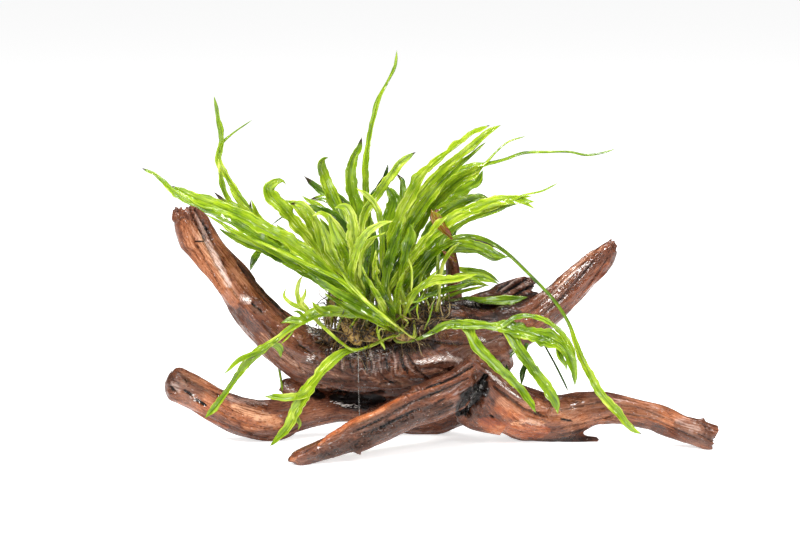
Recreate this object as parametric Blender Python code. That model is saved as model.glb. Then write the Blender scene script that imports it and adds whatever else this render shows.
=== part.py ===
"""Java fern growing on a branching piece of driftwood.

The wood is one natural piece, split at its main forks: a trunk with a left and a right horn,
a left, a front and a right root, a broken stub and a thin twig behind. Three rhizomes lie on
the trunk, each frond grows from one of them, and a thin nylon line ties two of them down.
"""

import math

import bpy
import numpy as np
from mathutils import Vector, geometry, noise

MM = 0.001

# Driving dimensions, in metres

GAP = 0.0003
PETIOLE_WIDTH = 0.0013
PETIOLE_HALF_THICKNESS = 0.00055
BLADE_HALF_THICKNESS = 0.0003
RHIZOME_RADIUS = 0.0033
LINE_RADIUS = 0.0002
LINE_CLEARANCE = 0.0008
LINE_PLACE = -0.0366
LINE_BERTH = 0.0013
LINE_BEND = 0.0015
FLOOR_BLOCK = 0.4
ROUND_END = 0.0015
BROKEN_HOLLOW = 0.003
RHIZOME_SINK = 0.0015
RHIZOME_END_SHARE = 0.75
RHIZOME_SWELLING = 0.1
RHIZOME_SWELLING_TURN = 2.4
BUD_LENGTH = 0.002

# Layout board: a board through BOARD_CENTRE that leans back and faces the eye. A route point
# is given in millimetres as (across, up, y, size): how far right and how far up it looks on
# the board, its true depth, and the radius or the width that it looks there. CENTRING then
# moves the whole layout, so that the origin lies under the middle of the bounding box.

BOARD_TILT = math.radians(10)
EYE_DISTANCE = 1.1
BOARD_CENTRE = Vector((-0.014, 0.0, 0.0901))
BOARD_FOOT = 0.0915
CENTRING = Vector((-0.0019, 0.0005, 0.0))

SIGHT = Vector((0, math.cos(BOARD_TILT), -math.sin(BOARD_TILT)))
BOARD_UP = Vector((0, math.sin(BOARD_TILT), math.cos(BOARD_TILT)))
EYE = BOARD_CENTRE - SIGHT * EYE_DISTANCE

# Colours and finish

WOOD_BROWN = (0.19, 0.075, 0.038)
WOOD_ROUGHNESS = 0.42
RHIZOME_BROWN = (0.16, 0.1, 0.035)
RHIZOME_ROUGHNESS = 0.6
DARK_GREEN = np.array([0.035, 0.09, 0.012])
BRIGHT_GREEN = np.array([0.26, 0.5, 0.03])
FROND_ROUGHNESS = 0.35
LINE_GREY = (0.75, 0.78, 0.74)
LINE_ROUGHNESS = 0.2

# Wood: (across, up, y, radius) from the tip of each limb to where it joins

TRUNK = [
    (-121, 119.5, 6, 7), (-119, 114, 6, 8.5), (-111, 100, 5, 9), (-95, 80, 3, 10), (-80, 61, 1, 11.5),
    (-64, 49, 0, 13.5), (-41, 45, 0, 15), (-19, 46.5, 0, 15.5), (1, 51.5, 1, 17), (14, 56, 3, 16),
    (28, 57.5, 5, 12), (43, 60, 7, 10), (56, 67.5, 9, 8.6), (73.5, 83, 11, 8.4), (86, 95, 13, 7),
    (92, 102.5, 14, 3.4),
]
LEFT_ROOT = [
    (-131, 32.5, 4, 7.5), (-125, 30.5, 4, 9), (-115, 26.5, 4, 9), (-104, 20.5, 4, 9.5),
    (-92, 16, 3, 10.3), (-79, 14.8, 5, 10.3), (-64, 19, 9, 8.8), (-44, 22.5, 14, 8.5),
    (-21, 20.5, 18, 9.5), (-2, 17.3, 19, 9.6), (16, 21, 11, 8.5), (29, 24, 2, 7),
]
FRONT_ROOT = [
    (-68, -5, -44, 2.6), (-62, -3.5, -43, 4.6), (-51, 1, -40, 6), (-39, 6.5, -36, 7.5),
    (-24, 13, -30, 8.5), (-9, 19.5, -25, 9.5), (6, 25.5, -20, 10), (20, 31.5, -13, 8),
]
RIGHT_ROOT = [
    (142.5, 6.8, -12, 7.2), (128, 11.1, -10, 6.8), (111, 17, -6, 6.8), (85, 21, 0, 8.5),
    (66, 17, 4, 11), (51, 18.3, 5, 13.2), (37, 23.5, -2, 13.4), (27, 34.5, -5, 12), (20, 46, 2, 9),
    (11, 54, 4, 7),
]
UNDER_ROOT = [(87, 5.8, 1, 1.4), (75, 6.4, 2, 2.4), (61, 8, 3, 3.2), (46, 12, 4, 4.5)]
BROKEN_SPUR = [(-76, 33, 9, 2), (-70, 30, 10, 3.6), (-63, 21, 10, 4)]
BACK_STUB = [(53, 81.5, 31, 6.2), (37, 77.5, 27, 6.6), (20, 70.5, 22, 7), (1, 60, 12, 9)]
BACK_TWIG = [(4.5, 118, 23, 4), (9, 105, 22, 3), (12, 91, 20, 3.3), (12.5, 80, 18, 3.8), (13, 64, 13, 4.5)]

# Where the trunk is split, as distances along it from the tip of the left horn

LEFT_FORK = 0.098
RIGHT_FORK = 0.196

# Unevenness of the wood: lumps and furrows as shares of the radius, and how the furrows twist

LUMP_SIZE = 0.022
LUMP_SHARE = 0.16
FURROWS = 3
FURROW_SHARE = 0.035
FURROW_TWIST = 40

# Rhizomes: route points to be seated on the trunk

RHIZOMES = {
    "left": [(-52, 57, -9), (-42, 60, -10), (-31, 61, -9)],
    "right": [(-22, 60, -13), (-9, 63, -13), (6, 66, -11)],
    "back": [(-44, 62, 3), (-24, 64, 4), (-8, 67, 5), (4, 69, 6)],
}

# Fronds: rhizome, roll of the blade in degrees, tone from dark (0) to bright (1), route from
# the crown to the tip as (across, up, y, width), and side lobes on the same terms

FRONDS = {
    "long_left": ("left", 10, 0.75, [
        (-44, 80, -8, 4), (-64, 94, -12, 6), (-83, 105, -14, 6), (-99, 114, -14, 5.5),
        (-114, 121, -13, 5), (-127, 129, -11, 4), (-136, 137, -9, 3), (-143, 141, -8, 1.2)], []),
    "left_arch": ("right", -12, 0.8, [
        (-24, 69, -20, 1.6), (-37, 78, -21, 2.4), (-49, 88, -22, 4.5), (-64, 100, -23, 6.5),
        (-80, 109, -24, 6.5), (-97, 118, -24, 6), (-114, 125, -23, 5), (-128, 132, -21, 1.5)], []),
    "left_low": ("left", 25, 0.55, [
        (-42, 80, 0, 3), (-59, 89, 2, 5), (-72, 96, 3, 4.5), (-85, 101, 4, 4), (-94, 106, 5, 3),
        (-103, 112, 6, 1)], [[(-84, 101, 4, 2.4), (-87.5, 95.5, -2, 3), (-90, 90, -7, 0.9)]]),
    "left_tall": ("back", -20, 0.6, [
        (-44, 82, 10, 2), (-69, 105, 14, 2.6), (-86, 117, 14, 2.4), (-95, 128, 12, 2.6),
        (-102, 139, 10, 2.8), (-105, 145, 9, 3.2), (-103, 154, 8, 2.6), (-105, 167, 7, 2.4),
        (-107, 177, 6, 0.8)], [[(-103, 153, 8, 1.6), (-98, 158, 8, 1), (-88, 165, 7, 0.7)]]),
    "left_shoot": ("left", 20, 0.65, [
        (-46, 84, 3, 2), (-68, 103, 3, 2.6), (-86, 116, 2, 3), (-94, 120, 1, 3), (-100, 125, 0, 3),
        (-103, 133, -1, 2.5), (-105, 146, -2, 0.8)], []),
    "left_brown_tip": ("left", -25, 0.5, [
        (-50, 88, -4, 2), (-72, 105, -5, 2.5), (-89, 116, -6, 3), (-97, 120, -6, 3),
        (-107, 129, -6, 1)], [[(-88, 115, -6, 2), (-89, 125, -7, 0.8)]]),
    "left_broad": ("left", 15, 0.9, [
        (-36, 80, -5, 3), (-44, 90, -7, 5), (-54, 99, -8, 6), (-61, 107, -9, 6.5),
        (-67, 114, -10, 6.5), (-73, 122, -11, 6), (-78, 129, -11, 5), (-76, 133, -11, 3),
        (-72, 133, -10, 1.2)], []),
    "dark_inner": ("back", -30, 0.15, [
        (-29, 80, 6, 2), (-31, 95, 9, 3), (-34, 108, 11, 4), (-39, 120, 12, 4.5), (-47, 127, 12, 4),
        (-55, 131, 12, 3.5), (-62, 137, 12, 1)], []),
    "hooked_inner": ("back", 25, 0.6, [
        (-32, 82, 2, 2), (-39, 105, 3, 4), (-44, 117, 3, 4.5), (-49, 128, 3, 4.5), (-53, 137, 3, 4.2),
        (-53, 144, 2, 3), (-50, 146, 2, 1)], []),
    "dark_tipped": ("back", 10, 0.35, [
        (-31, 84, 14, 2), (-34, 105, 17, 3.4), (-40, 121, 18, 3.5), (-47, 125, 18, 3.5),
        (-54, 126, 18, 3), (-61, 124, 17, 1)], []),
    "light_left": ("left", -15, 0.85, [
        (-37, 82, -9, 2), (-49, 95, -12, 4), (-53, 103, -14, 4), (-55, 112, -15, 4),
        (-59, 119, -16, 3.6), (-64, 123, -16, 3), (-69, 123, -15, 1)], []),
    "light_inner": ("left", 20, 0.9, [
        (-34, 82, -14, 2), (-39, 100, -17, 3.5), (-43, 107, -18, 4), (-48, 114, -19, 3.8),
        (-54, 118, -19, 3), (-58, 117, -19, 1)], []),
    "bright_short": ("left", -20, 0.8, [
        (-38, 80, -19, 2), (-43, 90, -22, 4), (-47, 97, -23, 5), (-50, 105, -24, 4.5),
        (-53, 114, -24, 1.2)], []),
    "centre_upright": ("back", 15, 0.7, [
        (-31, 85, -3, 2.4), (-34, 105, -4, 4), (-37, 120, -5, 4.4), (-40, 129, -5, 4.4),
        (-41, 137, -5, 4), (-39, 146, -5, 3.6), (-35, 152, -5, 2.6), (-33, 156, -5, 0.9)], []),
    "tallest": ("back", -10, 0.8, [
        (-28, 90, 2, 1.6), (-31, 125, 3, 2.6), (-32, 140, 3, 2.8), (-31, 152, 3, 2.6),
        (-28, 165, 2, 2.2), (-25, 176, 1, 1.9), (-20.5, 184.5, 0, 1.2), (-16.5, 192, -1, 1.8),
        (-15.3, 200, -2, 0.7)], []),
    "centre_hooked": ("back", 30, 0.45, [
        (-30, 85, -8, 2), (-34, 108, -11, 3), (-32, 119, -12, 3.4), (-26, 128, -13, 3.4),
        (-21, 136, -14, 3.4), (-15, 145, -14, 3), (-10, 148, -14, 2.4), (-6, 149, -14, 1)], []),
    "dark_upright": ("back", -25, 0.1, [
        (-27, 85, 8, 2), (-34, 110, 8, 3), (-30, 122, 8, 3.5), (-25, 130, 8, 3.5), (-21, 138, 8, 2.6),
        (-20, 143, 8, 1)], []),
    "back_short": ("back", 20, 0.4, [
        (-17, 85, 14, 2), (-14, 108, 16, 3), (-13, 122, 17, 3), (-13.5, 130, 17, 2.8),
        (-14, 135, 17, 2), (-16, 138, 17, 0.9)], []),
    "dark_broad": ("back", -15, 0.2, [
        (-22, 85, 4, 2.4), (-21, 108, 3, 5), (-18, 117, 2, 6), (-16, 124, 2, 5.5), (-18, 129, 2, 4),
        (-22, 131, 2, 1.2)], []),
    "pale_hook": ("right", 10, 0.95, [
        (-22, 88, -18, 1.8), (-23, 108, -20, 2.6), (-25, 120, -21, 3), (-29, 126, -21, 2.8),
        (-36, 131, -21, 0.9)], []),
    "front_folded": ("left", -10, 1.0, [
        (-31, 76, -20, 3), (-34, 84, -24, 4.5), (-36, 95, -27, 5.6), (-37, 107, -29, 6),
        (-39, 118, -30, 5), (-42, 122, -30, 3.5), (-47, 121, -29, 1)], []),
    "front_curved": ("left", 25, 0.95, [
        (-33, 74, -24, 2), (-38, 86, -29, 3.4), (-37, 95, -32, 3.8), (-33, 105, -34, 3.6),
        (-29, 110, -35, 3.2), (-24, 113, -35, 2.6), (-17.5, 114.5, -35, 0.9)], []),
    "front_pale": ("right", -20, 0.95, [
        (-24, 78, -24, 3), (-26.5, 86, -27, 3.8), (-27, 93, -29, 3.4), (-26, 100, -30, 1)], []),
    "right_upper": ("back", -20, 0.75, [
        (-23, 80, -2, 2), (-21, 98, -5, 3.2), (-12.5, 117.5, -9, 4.2), (-1.5, 136, -12, 4.4),
        (6, 143.5, -14, 4.4), (15, 150, -15, 4), (24, 156, -16, 3.2), (31, 162.5, -16, 1)], []),
    "right_upper_back": ("back", 20, 0.6, [
        (-20, 82, 4, 2), (-15, 105, 3, 2.6), (-6, 125, 0, 3.4), (8, 141, -3, 4), (16, 147.5, -5, 4),
        (24, 153.5, -6, 3.4), (31, 159.5, -7, 2.6), (36.5, 162.5, -7, 0.9)], []),
    "right_tendril": ("back", -15, 0.6, [
        (-18, 85, 8, 2), (-12, 117, 9, 3), (0, 131, 9, 4.4), (11, 139, 9, 4.8), (20, 142, 9, 4),
        (30, 144, 8, 2.4), (39, 147, 8, 1.4), (48, 149.5, 7, 1), (60, 149.5, 6, 1.1),
        (71, 149, 5, 1.2), (79, 147.5, 4, 1.3), (87, 148.5, 3, 1), (93.5, 150.5, 2, 0.7)],
        [[(27, 143.3, 8, 1.6), (34, 149, 8, 1), (40, 154, 8, 0.9), (49, 157, 7, 0.7)]]),
    "right_broad": ("back", 15, 0.55, [
        (-14, 85, 12, 2.2), (-8, 113, 13, 4), (3, 122, 14, 5.6), (12, 128, 14, 6), (19, 131, 14, 5),
        (25, 135, 14, 3.6), (27.5, 140, 14, 1)], []),
    "right_dark": ("back", -10, 0.2, [
        (-12, 88, 18, 1.8), (-7, 110, 21, 2.4), (2, 119, 22, 2.8), (13.5, 124, 22, 2.8),
        (21, 127, 22, 2.4), (26, 127.5, 22, 2), (31, 125.5, 22, 0.8)], []),
    "right_yellow": ("right", 10, 0.9, [
        (-15, 84, -12, 2.4), (-9, 94, -15, 3.6), (-1.5, 102.5, -17, 4.6), (6, 111, -19, 5),
        (14, 117, -20, 5), (24, 121, -21, 5), (34, 124.5, -22, 4.6), (43, 125, -22, 4),
        (49, 124.5, -22, 2.6), (53.5, 124, -22, 0.9)],
        [[(42, 125, -22, 1.8), (48, 127.5, -22, 1), (57, 129.3, -22, 0.9), (65, 133.5, -22, 0.7)]]),
    "right_narrow": ("right", -25, 0.4, [
        (-10, 84, -4, 1.6), (-2, 98, -6, 2), (6, 106, -8, 2.4), (18.5, 114, -9, 2.6),
        (28.5, 117, -10, 2.4), (36, 120, -10, 2), (42, 123.5, -10, 0.8)], []),
    "mid_broad": ("right", -15, 0.25, [
        (-14, 84, -18, 2), (-12, 95, -20, 3.6), (-10, 103, -21, 5), (-8.5, 108, -21, 4.4),
        (-8.5, 113, -21, 1.4)], []),
    "mid_olive": ("right", 25, 0.4, [
        (-12, 80, -8, 2.2), (-8, 91, -9, 3.4), (-3, 101, -10, 3.8), (2, 112.5, -11, 1.1)], []),
    "mid_dark": ("back", -10, 0.1, [
        (-8, 80, 0, 2.4), (-1.5, 91, -1, 5), (4, 97, -2, 6), (10, 103, -3, 5), (14.5, 110, -4, 1.4)], []),
    "right_trailing": ("right", 15, 0.7, [
        (-4, 84, -10, 1.8), (4, 99, -13, 2), (13.5, 106, -15, 2.2), (24, 107, -16, 2.2),
        (36, 101.5, -16, 2.2), (51, 87.5, -16, 2.2), (64.5, 73.5, -15, 2.2), (71, 60, -15, 2.2),
        (76, 46, -17, 2.8), (81, 39, -19, 3.4), (88, 28, -21, 3.6), (96, 19, -22, 3.6),
        (103, 10.5, -23, 2.6), (106.5, 8.5, -23, 1)], []),
    "right_drooping": ("back", 20, 0.3, [
        (-6, 80, 4, 1.8), (3, 93, 5, 2.6), (9, 99, 6, 3), (16, 100.5, 6, 3), (26, 99, 6, 2.8),
        (33, 95.5, 6, 2), (39, 96.5, 6, 0.8)], []),
    "right_brown": ("back", -15, 0.15, [
        (-4, 86, 6, 1.8), (8, 102, 7, 2.4), (18.5, 105, 8, 2.4), (28.5, 103, 9, 2),
        (35, 101, 9, 0.8)], []),
    "right_low_back": ("back", 15, 0.45, [
        (-2, 78, 14, 1.6), (4, 86, 18, 2.2), (11, 89.5, 24, 2.4), (18, 90, 29, 2.5),
        (25, 89.5, 30, 2.3), (31, 87.5, 30, 1.8), (36, 83.5, 30, 0.7)], []),
    "right_low": ("right", -20, 0.5, [
        (1, 79, -2, 2.4), (8.5, 83.5, -3, 3.4), (16, 84.5, -3, 3.6), (25, 85, -3, 3),
        (33.5, 84, -3, 0.9)], []),
    "right_lowest": ("back", 10, 0.5, [
        (2, 78, -2, 1.8), (8.5, 80, -2, 2.6), (16, 82, -1, 3), (23.5, 83.5, 0, 2.6),
        (31, 82, 0, 0.9)], []),
    "on_wood": ("back", -5, 0.15, [
        (9, 75, 4, 1.4), (17, 75.5, 8, 1.8), (24, 75, 13, 3.6), (32, 75, 16, 4.4),
        (41, 76, 17, 3.6), (50, 77.5, 17, 1)], []),
    "pale_stalk": ("right", 0, 0.95, [
        (4, 69, -16, 1.3), (5.5, 76, -17, 1.4), (6, 84, -17, 1.5), (7.5, 93, -16, 1.8),
        (11, 99, -16, 2.4), (16, 104, -16, 0.8)], []),
    "front_right_lobed": ("right", 5, 0.8, [
        (-3, 57, -21, 1.8), (1, 59, -22, 2), (8.5, 63.3, -23, 3.2), (18.5, 62.8, -25, 4.2),
        (31, 62.5, -26, 4.6), (41, 60.5, -26, 6), (52, 57.5, -26, 7), (61, 54.5, -26, 6.5),
        (67.5, 49, -27, 5), (72, 38, -28, 3), (72.5, 33, -28, 1)],
        [[(18, 61.5, -25.5, 3.2), (24, 52.5, -28, 4), (34, 42, -29, 4), (44, 32.5, -30, 3.8),
          (51, 24, -30, 3.2), (54, 18.5, -30, 1)],
         [(38, 60.5, -26.3, 3.4), (44, 50, -28, 4), (51, 40, -29, 4), (58.5, 30, -29, 3.6),
          (63.5, 22.5, -29, 3), (65, 18.5, -29, 1)],
         [(36, 62.5, -26.2, 2.2), (44, 66.5, -26, 2.4), (52, 67, -25, 2.4), (60, 64, -25, 2.6),
          (68, 57.5, -25.5, 2.6), (76, 47, -26, 1)]]),
    "front_left_compound": ("left", -5, 0.85, [
        (-31, 66.5, -19, 2.4), (-39, 69, -22, 3.6), (-49, 69, -23, 4.4), (-57, 67.5, -23, 4.6),
        (-65, 63.5, -22, 3), (-74, 56.5, -21, 2), (-83, 50, -20, 3.4), (-91.5, 42.5, -18, 3.4),
        (-97, 35, -16, 2.2), (-102, 27.5, -15, 2.6), (-107, 21, -14, 3), (-111.5, 16, -14, 1)],
        [[(-83, 50, -20.3, 1.8), (-94, 45, -19, 2), (-102, 38, -18, 0.8)],
         [(-78, 53, -20.4, 2.4), (-75, 50, -20, 2.6), (-74, 46, -20, 0.9)],
         [(-54, 68.5, -23.2, 2.2), (-57, 71, -23, 1.8), (-60, 74, -23, 0.7)],
         [(-63, 64.5, -22.3, 2), (-70, 64, -22, 1.6), (-74, 63.5, -22, 0.7)]]),
    "front_antler": ("left", 0, 1.0, [
        (-44, 54, -22, 1.3), (-50, 59, -22, 1.5), (-56, 65, -20, 2), (-60, 69, -19, 2.4),
        (-63, 73, -18, 2.4), (-65, 79, -18, 2), (-64, 84, -18, 1.6), (-62.5, 87.5, -18, 0.7)],
        [[(-61.5, 70.5, -18.7, 1.8), (-68, 73.5, -18, 1.6), (-72, 77, -18, 1.4), (-71, 81, -18, 0.7)],
         [(-63.4, 73.5, -18.2, 1.6), (-61, 78, -18, 1.2), (-60.5, 81.5, -18, 0.7)]]),
    "front_left_broad": ("right", 10, 0.9, [
        (-22.5, 55, -21, 1.5), (-28, 52, -21.5, 1.5), (-35, 50, -22, 1.6), (-41, 48.5, -23, 3),
        (-47.5, 44, -24, 5), (-54, 36, -25, 6), (-60, 28.5, -25, 6.6), (-64, 22, -25, 6),
        (-67.5, 15, -24, 5), (-73, 7.5, -22, 3.6), (-79, 2.5, -21, 1.2)],
        [[(-60, 27.5, -25.3, 3.6), (-68, 26, -24, 3.6), (-76, 26.5, -23, 2.6), (-81, 27, -22, 0.9)]]),
    "back_left": ("back", 0, 0.5, [
        (-36, 82, 20, 2), (-41, 93, 34, 3.6), (-45, 98, 46, 4), (-48, 98, 57, 1)], []),
    "back_middle": ("back", 10, 0.4, [
        (-27, 86, 24, 2), (-29, 99, 38, 4), (-31, 106, 50, 4.6), (-33, 107, 61, 3.2),
        (-34, 105, 69, 1)], []),
    "back_right": ("back", -10, 0.45, [
        (-14, 84, 22, 2), (-9, 96, 36, 3.6), (-4, 102, 48, 4), (0, 102, 58, 3), (2, 99, 64, 1)], []),
}

# The fronds fan out in depth: the depth that a route point has from the middle of the crown
# grows with the way along the frond, by up to this share. Draped fronds lie along the wood
# and keep their depth.

CROWN_DEPTH = -3
FAN = 1.1
DRAPED = {
    "right_trailing", "front_left_compound", "front_left_broad", "front_antler",
    "front_right_lobed", "on_wood", "pale_stalk", "back_left", "back_middle", "back_right",
}

# A wide blade leans back from the eye, so it is wider than it looks by up to this share.
# Widths are in millimetres. A blade faces BLADE_FACING, and a narrow one is a thick stalk.

BLADE_LEAN = 0.15
WIDE_BLADE = 3
NARROWEST_BLADE = 1.3
BLADE_FACING = Vector((0, -0.8, 0.6))
MOST_THICKNESS_SHARE = 0.45

# How the fronds are spread: the straight start of a stalk, its lift off the rhizome and its
# lean, the length over which a frond becomes free to move, and the room between two fronds.
# A rolled blade reaches this share of its half width to the front and to the back.

STALK_LENGTH = 0.004
STALK_LIFT = 0.0003
STALK_LEAN_PER_MM = math.radians(5)
STALK_MOST_LEAN = math.radians(60)
LOOSE_LENGTH = 0.014
LEAF_CLEARANCE = 0.001
LONGEST_PUSH = 0.0015
SETTLING_STEPS = 200
SETTLING_PACE = 0.6
ROLLED_SHARE = 0.5
LEAF_SAMPLES = 30
LOBE_ROLL = 0.12
TIP_LENGTH = 0.0006

# Fineness of the meshes

CURVE_STEPS = 24
LEAF_STATION = 0.0094
FEWEST_STATIONS = 5
MOST_STATIONS = 15
RHIZOME_RINGS = 9
RHIZOME_SIDES = 8
WOOD_RING_STEP = 0.0068
WOOD_SIDES = 12
WOOD_LUMP_MARGIN = 1.12


def clear_scene():
    for obj in list(bpy.data.objects):
        bpy.data.objects.remove(obj)


def place(across, up, y):
    """World position, in metres, of a point that looks at (across, up) on the board at depth y."""
    flat = Vector((across * MM, 0, 0)) + BOARD_UP * (up * MM - BOARD_FOOT)
    spot = Vector((0, BOARD_CENTRE.y, BOARD_CENTRE.z)) + flat
    ray = spot - EYE
    return EYE + ray * ((y * MM - EYE.y) / ray.y) + CENTRING


def nearness(y):
    """How much larger a thing at depth y is than it looks on the board."""
    return (y * MM - EYE.y) / -EYE.y


def blade_width(across, up, y, width):
    """True width of a blade that looks this wide: it leans back a little from the eye."""
    return width * MM * nearness(y) * (1 + BLADE_LEAN * min(1, width / WIDE_BLADE))


def smooth_curve(points, sizes, count):
    """Evenly spaced positions and sizes along a centripetal Catmull-Rom curve through points."""
    knots = np.array([[*p, s] for p, s in zip(points, sizes)])
    knots = np.vstack([2 * knots[0] - knots[1], knots, 2 * knots[-1] - knots[-2]])
    pieces = []
    for a, b, c, d in zip(knots, knots[1:], knots[2:], knots[3:]):
        ta = 0.0
        tb = ta + np.linalg.norm(b[:3] - a[:3]) ** 0.5
        tc = tb + np.linalg.norm(c[:3] - b[:3]) ** 0.5
        td = tc + np.linalg.norm(d[:3] - c[:3]) ** 0.5
        t = np.linspace(tb, tc, CURVE_STEPS, endpoint=False)[:, None]
        ab = (tb - t) / (tb - ta) * a + (t - ta) / (tb - ta) * b
        bc = (tc - t) / (tc - tb) * b + (t - tb) / (tc - tb) * c
        cd = (td - t) / (td - tc) * c + (t - tc) / (td - tc) * d
        abc = (tc - t) / (tc - ta) * ab + (t - ta) / (tc - ta) * bc
        bcd = (td - t) / (td - tb) * bc + (t - tb) / (td - tb) * cd
        pieces.append((tc - t) / (tc - tb) * abc + (t - tb) / (tc - tb) * bcd)
    dense = np.vstack([*pieces, knots[-2]])
    along = np.r_[0, np.cumsum(np.linalg.norm(np.diff(dense[:, :3], axis=0), axis=1))]
    spots = np.linspace(0, along[-1], count)
    even = np.column_stack([np.interp(spots, along, dense[:, k]) for k in range(4)])
    return even[:, :3], even[:, 3]


def directions(spine):
    ahead = np.gradient(spine, axis=0)
    return ahead / np.linalg.norm(ahead, axis=1)[:, None]


class Limb:
    """A limb of wood: a lumpy tube along a route, with the radius given at each route point."""

    STEP = 0.001

    def __init__(self, route):
        points = [place(a, u, y) for a, u, y, _ in route]
        radii = [r * MM * nearness(y) for _, _, y, r in route]
        rough_length = sum((b - a).length for a, b in zip(points, points[1:]))
        self.spine, self.radius = smooth_curve(points, radii, int(rough_length / self.STEP) + 2)
        self.ahead = directions(self.spine)
        self.along = np.r_[0, np.cumsum(np.linalg.norm(np.diff(self.spine, axis=0), axis=1))]
        self.length = self.along[-1]
        side = Vector(self.ahead[0]).orthogonal().normalized()
        self.side = []
        for forward in self.ahead:
            forward = Vector(forward)
            side = (side - forward * side.dot(forward)).normalized()
            self.side.append(side.copy())

    def ring(self, distance, sides, swell=0.0):
        """Points around the limb at a distance along it, swelled outwards by a margin."""
        k = int(np.searchsorted(self.along, distance))
        k = min(max(k, 1), len(self.along) - 1)
        mix = (distance - self.along[k - 1]) / (self.along[k] - self.along[k - 1])
        centre = Vector(self.spine[k - 1]).lerp(Vector(self.spine[k]), mix)
        radius = self.radius[k - 1] * (1 - mix) + self.radius[k] * mix
        forward = Vector(self.ahead[k - 1]).lerp(Vector(self.ahead[k]), mix).normalized()
        side = self.side[k - 1].lerp(self.side[k], mix)
        side = (side - forward * side.dot(forward)).normalized()
        up = forward.cross(side)
        points = []
        for n in range(sides):
            angle = 2 * math.pi * n / sides
            out = side * math.cos(angle) + up * math.sin(angle)
            lump = noise.noise((centre + out * radius - CENTRING) / LUMP_SIZE) * LUMP_SHARE
            furrow = FURROW_SHARE * math.cos(FURROWS * angle + FURROW_TWIST * distance)
            points.append(centre + out * (radius * (1 + lump + furrow) + swell))
        return points


def mesh_object(name, points, faces, material):
    mesh = bpy.data.meshes.new(name)
    mesh.from_pydata([tuple(p) for p in points], [], faces)
    mesh.materials.append(material)
    mesh.shade_smooth()
    obj = bpy.data.objects.new(name, mesh)
    bpy.context.scene.collection.objects.link(obj)
    return obj


def tube(name, rings, start_tip, end_tip, material):
    """A closed skin over rings of equal count, with a point beyond or inside each end ring."""
    sides = len(rings[0])
    points = [p for ring in rings for p in ring] + [start_tip, end_tip]
    faces = []
    for r in range(len(rings) - 1):
        for n in range(sides):
            m = (n + 1) % sides
            here, there = r * sides, (r + 1) * sides
            faces.append((here + n, here + m, there + m))
            faces.append((here + n, there + m, there + n))
    last = (len(rings) - 1) * sides
    for n in range(sides):
        m = (n + 1) % sides
        faces.append((m, n, len(points) - 2))
        faces.append((last + n, last + m, len(points) - 1))
    return mesh_object(name, points, faces, material)


def stations(start, end):
    """Distances of the rings between two distances along a limb."""
    return list(np.linspace(start, end, max(2, round((end - start) / WOOD_RING_STEP)) + 1))


def limb_piece(name, limb, distances, material, start_bulge=0.0, end_bulge=0.0, swell=0.0):
    """A limb with rings at these distances. A bulge is how far an end's middle stands out."""
    rings = [limb.ring(distance, WOOD_SIDES, swell) for distance in distances]
    tips = []
    for ring, distance, bulge in ((rings[0], distances[0], -start_bulge - swell),
                                  (rings[-1], distances[-1], end_bulge + swell)):
        middle = sum(ring, Vector()) / len(ring)
        k = int(np.searchsorted(limb.along, distance).clip(0, len(limb.along) - 1))
        tips.append(middle + Vector(limb.ahead[k]) * bulge)
    return tube(name, rings, tips[0], tips[1], material)


def helper(obj):
    """Keeps an object as a cutter or an added part only."""
    obj.hide_render = True
    obj.display_type = "WIRE"
    return obj


def boolean(obj, other, operation):
    modifier = obj.modifiers.new(operation.title(), "BOOLEAN")
    modifier.operation = operation
    modifier.solver = "EXACT"
    modifier.object = other


def floor_block():
    """Everything below the surface that the wood rests on."""
    half = FLOOR_BLOCK / 2
    corners = [(x, y, z) for x in (-half, half) for y in (-half, half) for z in (-half, 0)]
    faces = [(0, 1, 3, 2), (4, 6, 7, 5), (0, 4, 5, 1), (2, 3, 7, 6), (0, 2, 6, 4), (1, 5, 7, 3)]
    return helper(mesh_object("floor_cutter", corners, faces, None))


def material_of(name, colour, roughness, metallic=0.0):
    material = bpy.data.materials.new(name)
    material.use_nodes = True
    shader = material.node_tree.nodes["Principled BSDF"]
    shader.inputs["Base Color"].default_value = (*colour, 1)
    shader.inputs["Roughness"].default_value = roughness
    shader.inputs["Metallic"].default_value = metallic
    material.diffuse_color = (*colour, 1)
    return material


def build_wood():
    """The driftwood, split at its main forks. Returns its limbs and the swelled trunk."""
    floor = floor_block()
    trunk = Limb(TRUNK)
    roots = {
        "right_root": Limb(RIGHT_ROOT),
        "front_root": Limb(FRONT_ROOT),
        "left_root": Limb(LEFT_ROOT),
        "back_stub": Limb(BACK_STUB),
        "back_twig": Limb(BACK_TWIG),
    }
    spurs = {"right_root": UNDER_ROOT, "left_root": BROKEN_SPUR}
    splits = {
        "left_horn": stations(0, LEFT_FORK),
        "trunk": stations(LEFT_FORK + GAP, RIGHT_FORK),
        "right_horn": stations(RIGHT_FORK + GAP, trunk.length),
    }
    hollow_end = {"left_horn": BROKEN_HOLLOW}
    for name, distances in splits.items():
        material = material_of("wood_" + name, WOOD_BROWN, WOOD_ROUGHNESS)
        limb_piece("wood_" + name, trunk, distances, material, -hollow_end.get(name, 0))
    trunk_skin = helper(limb_piece("trunk_clearance", trunk, sum(splits.values(), []), None, swell=GAP))
    cutters = [trunk_skin]
    for name, limb in roots.items():
        distances = stations(0, limb.length)
        material = material_of("wood_" + name, WOOD_BROWN, WOOD_ROUGHNESS)
        obj = limb_piece("wood_" + name, limb, distances, material, ROUND_END)
        if name in spurs:
            spur = Limb(spurs[name])
            side_piece = limb_piece(name + "_spur", spur, stations(0, spur.length), None, ROUND_END)
            boolean(obj, helper(side_piece), "UNION")
        for cutter in cutters:
            boolean(obj, cutter, "DIFFERENCE")
        boolean(obj, floor, "DIFFERENCE")
        skin = limb_piece(name + "_clearance", limb, distances, None, ROUND_END, swell=GAP)
        cutters.append(helper(skin))
    return trunk, roots, trunk_skin


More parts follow.
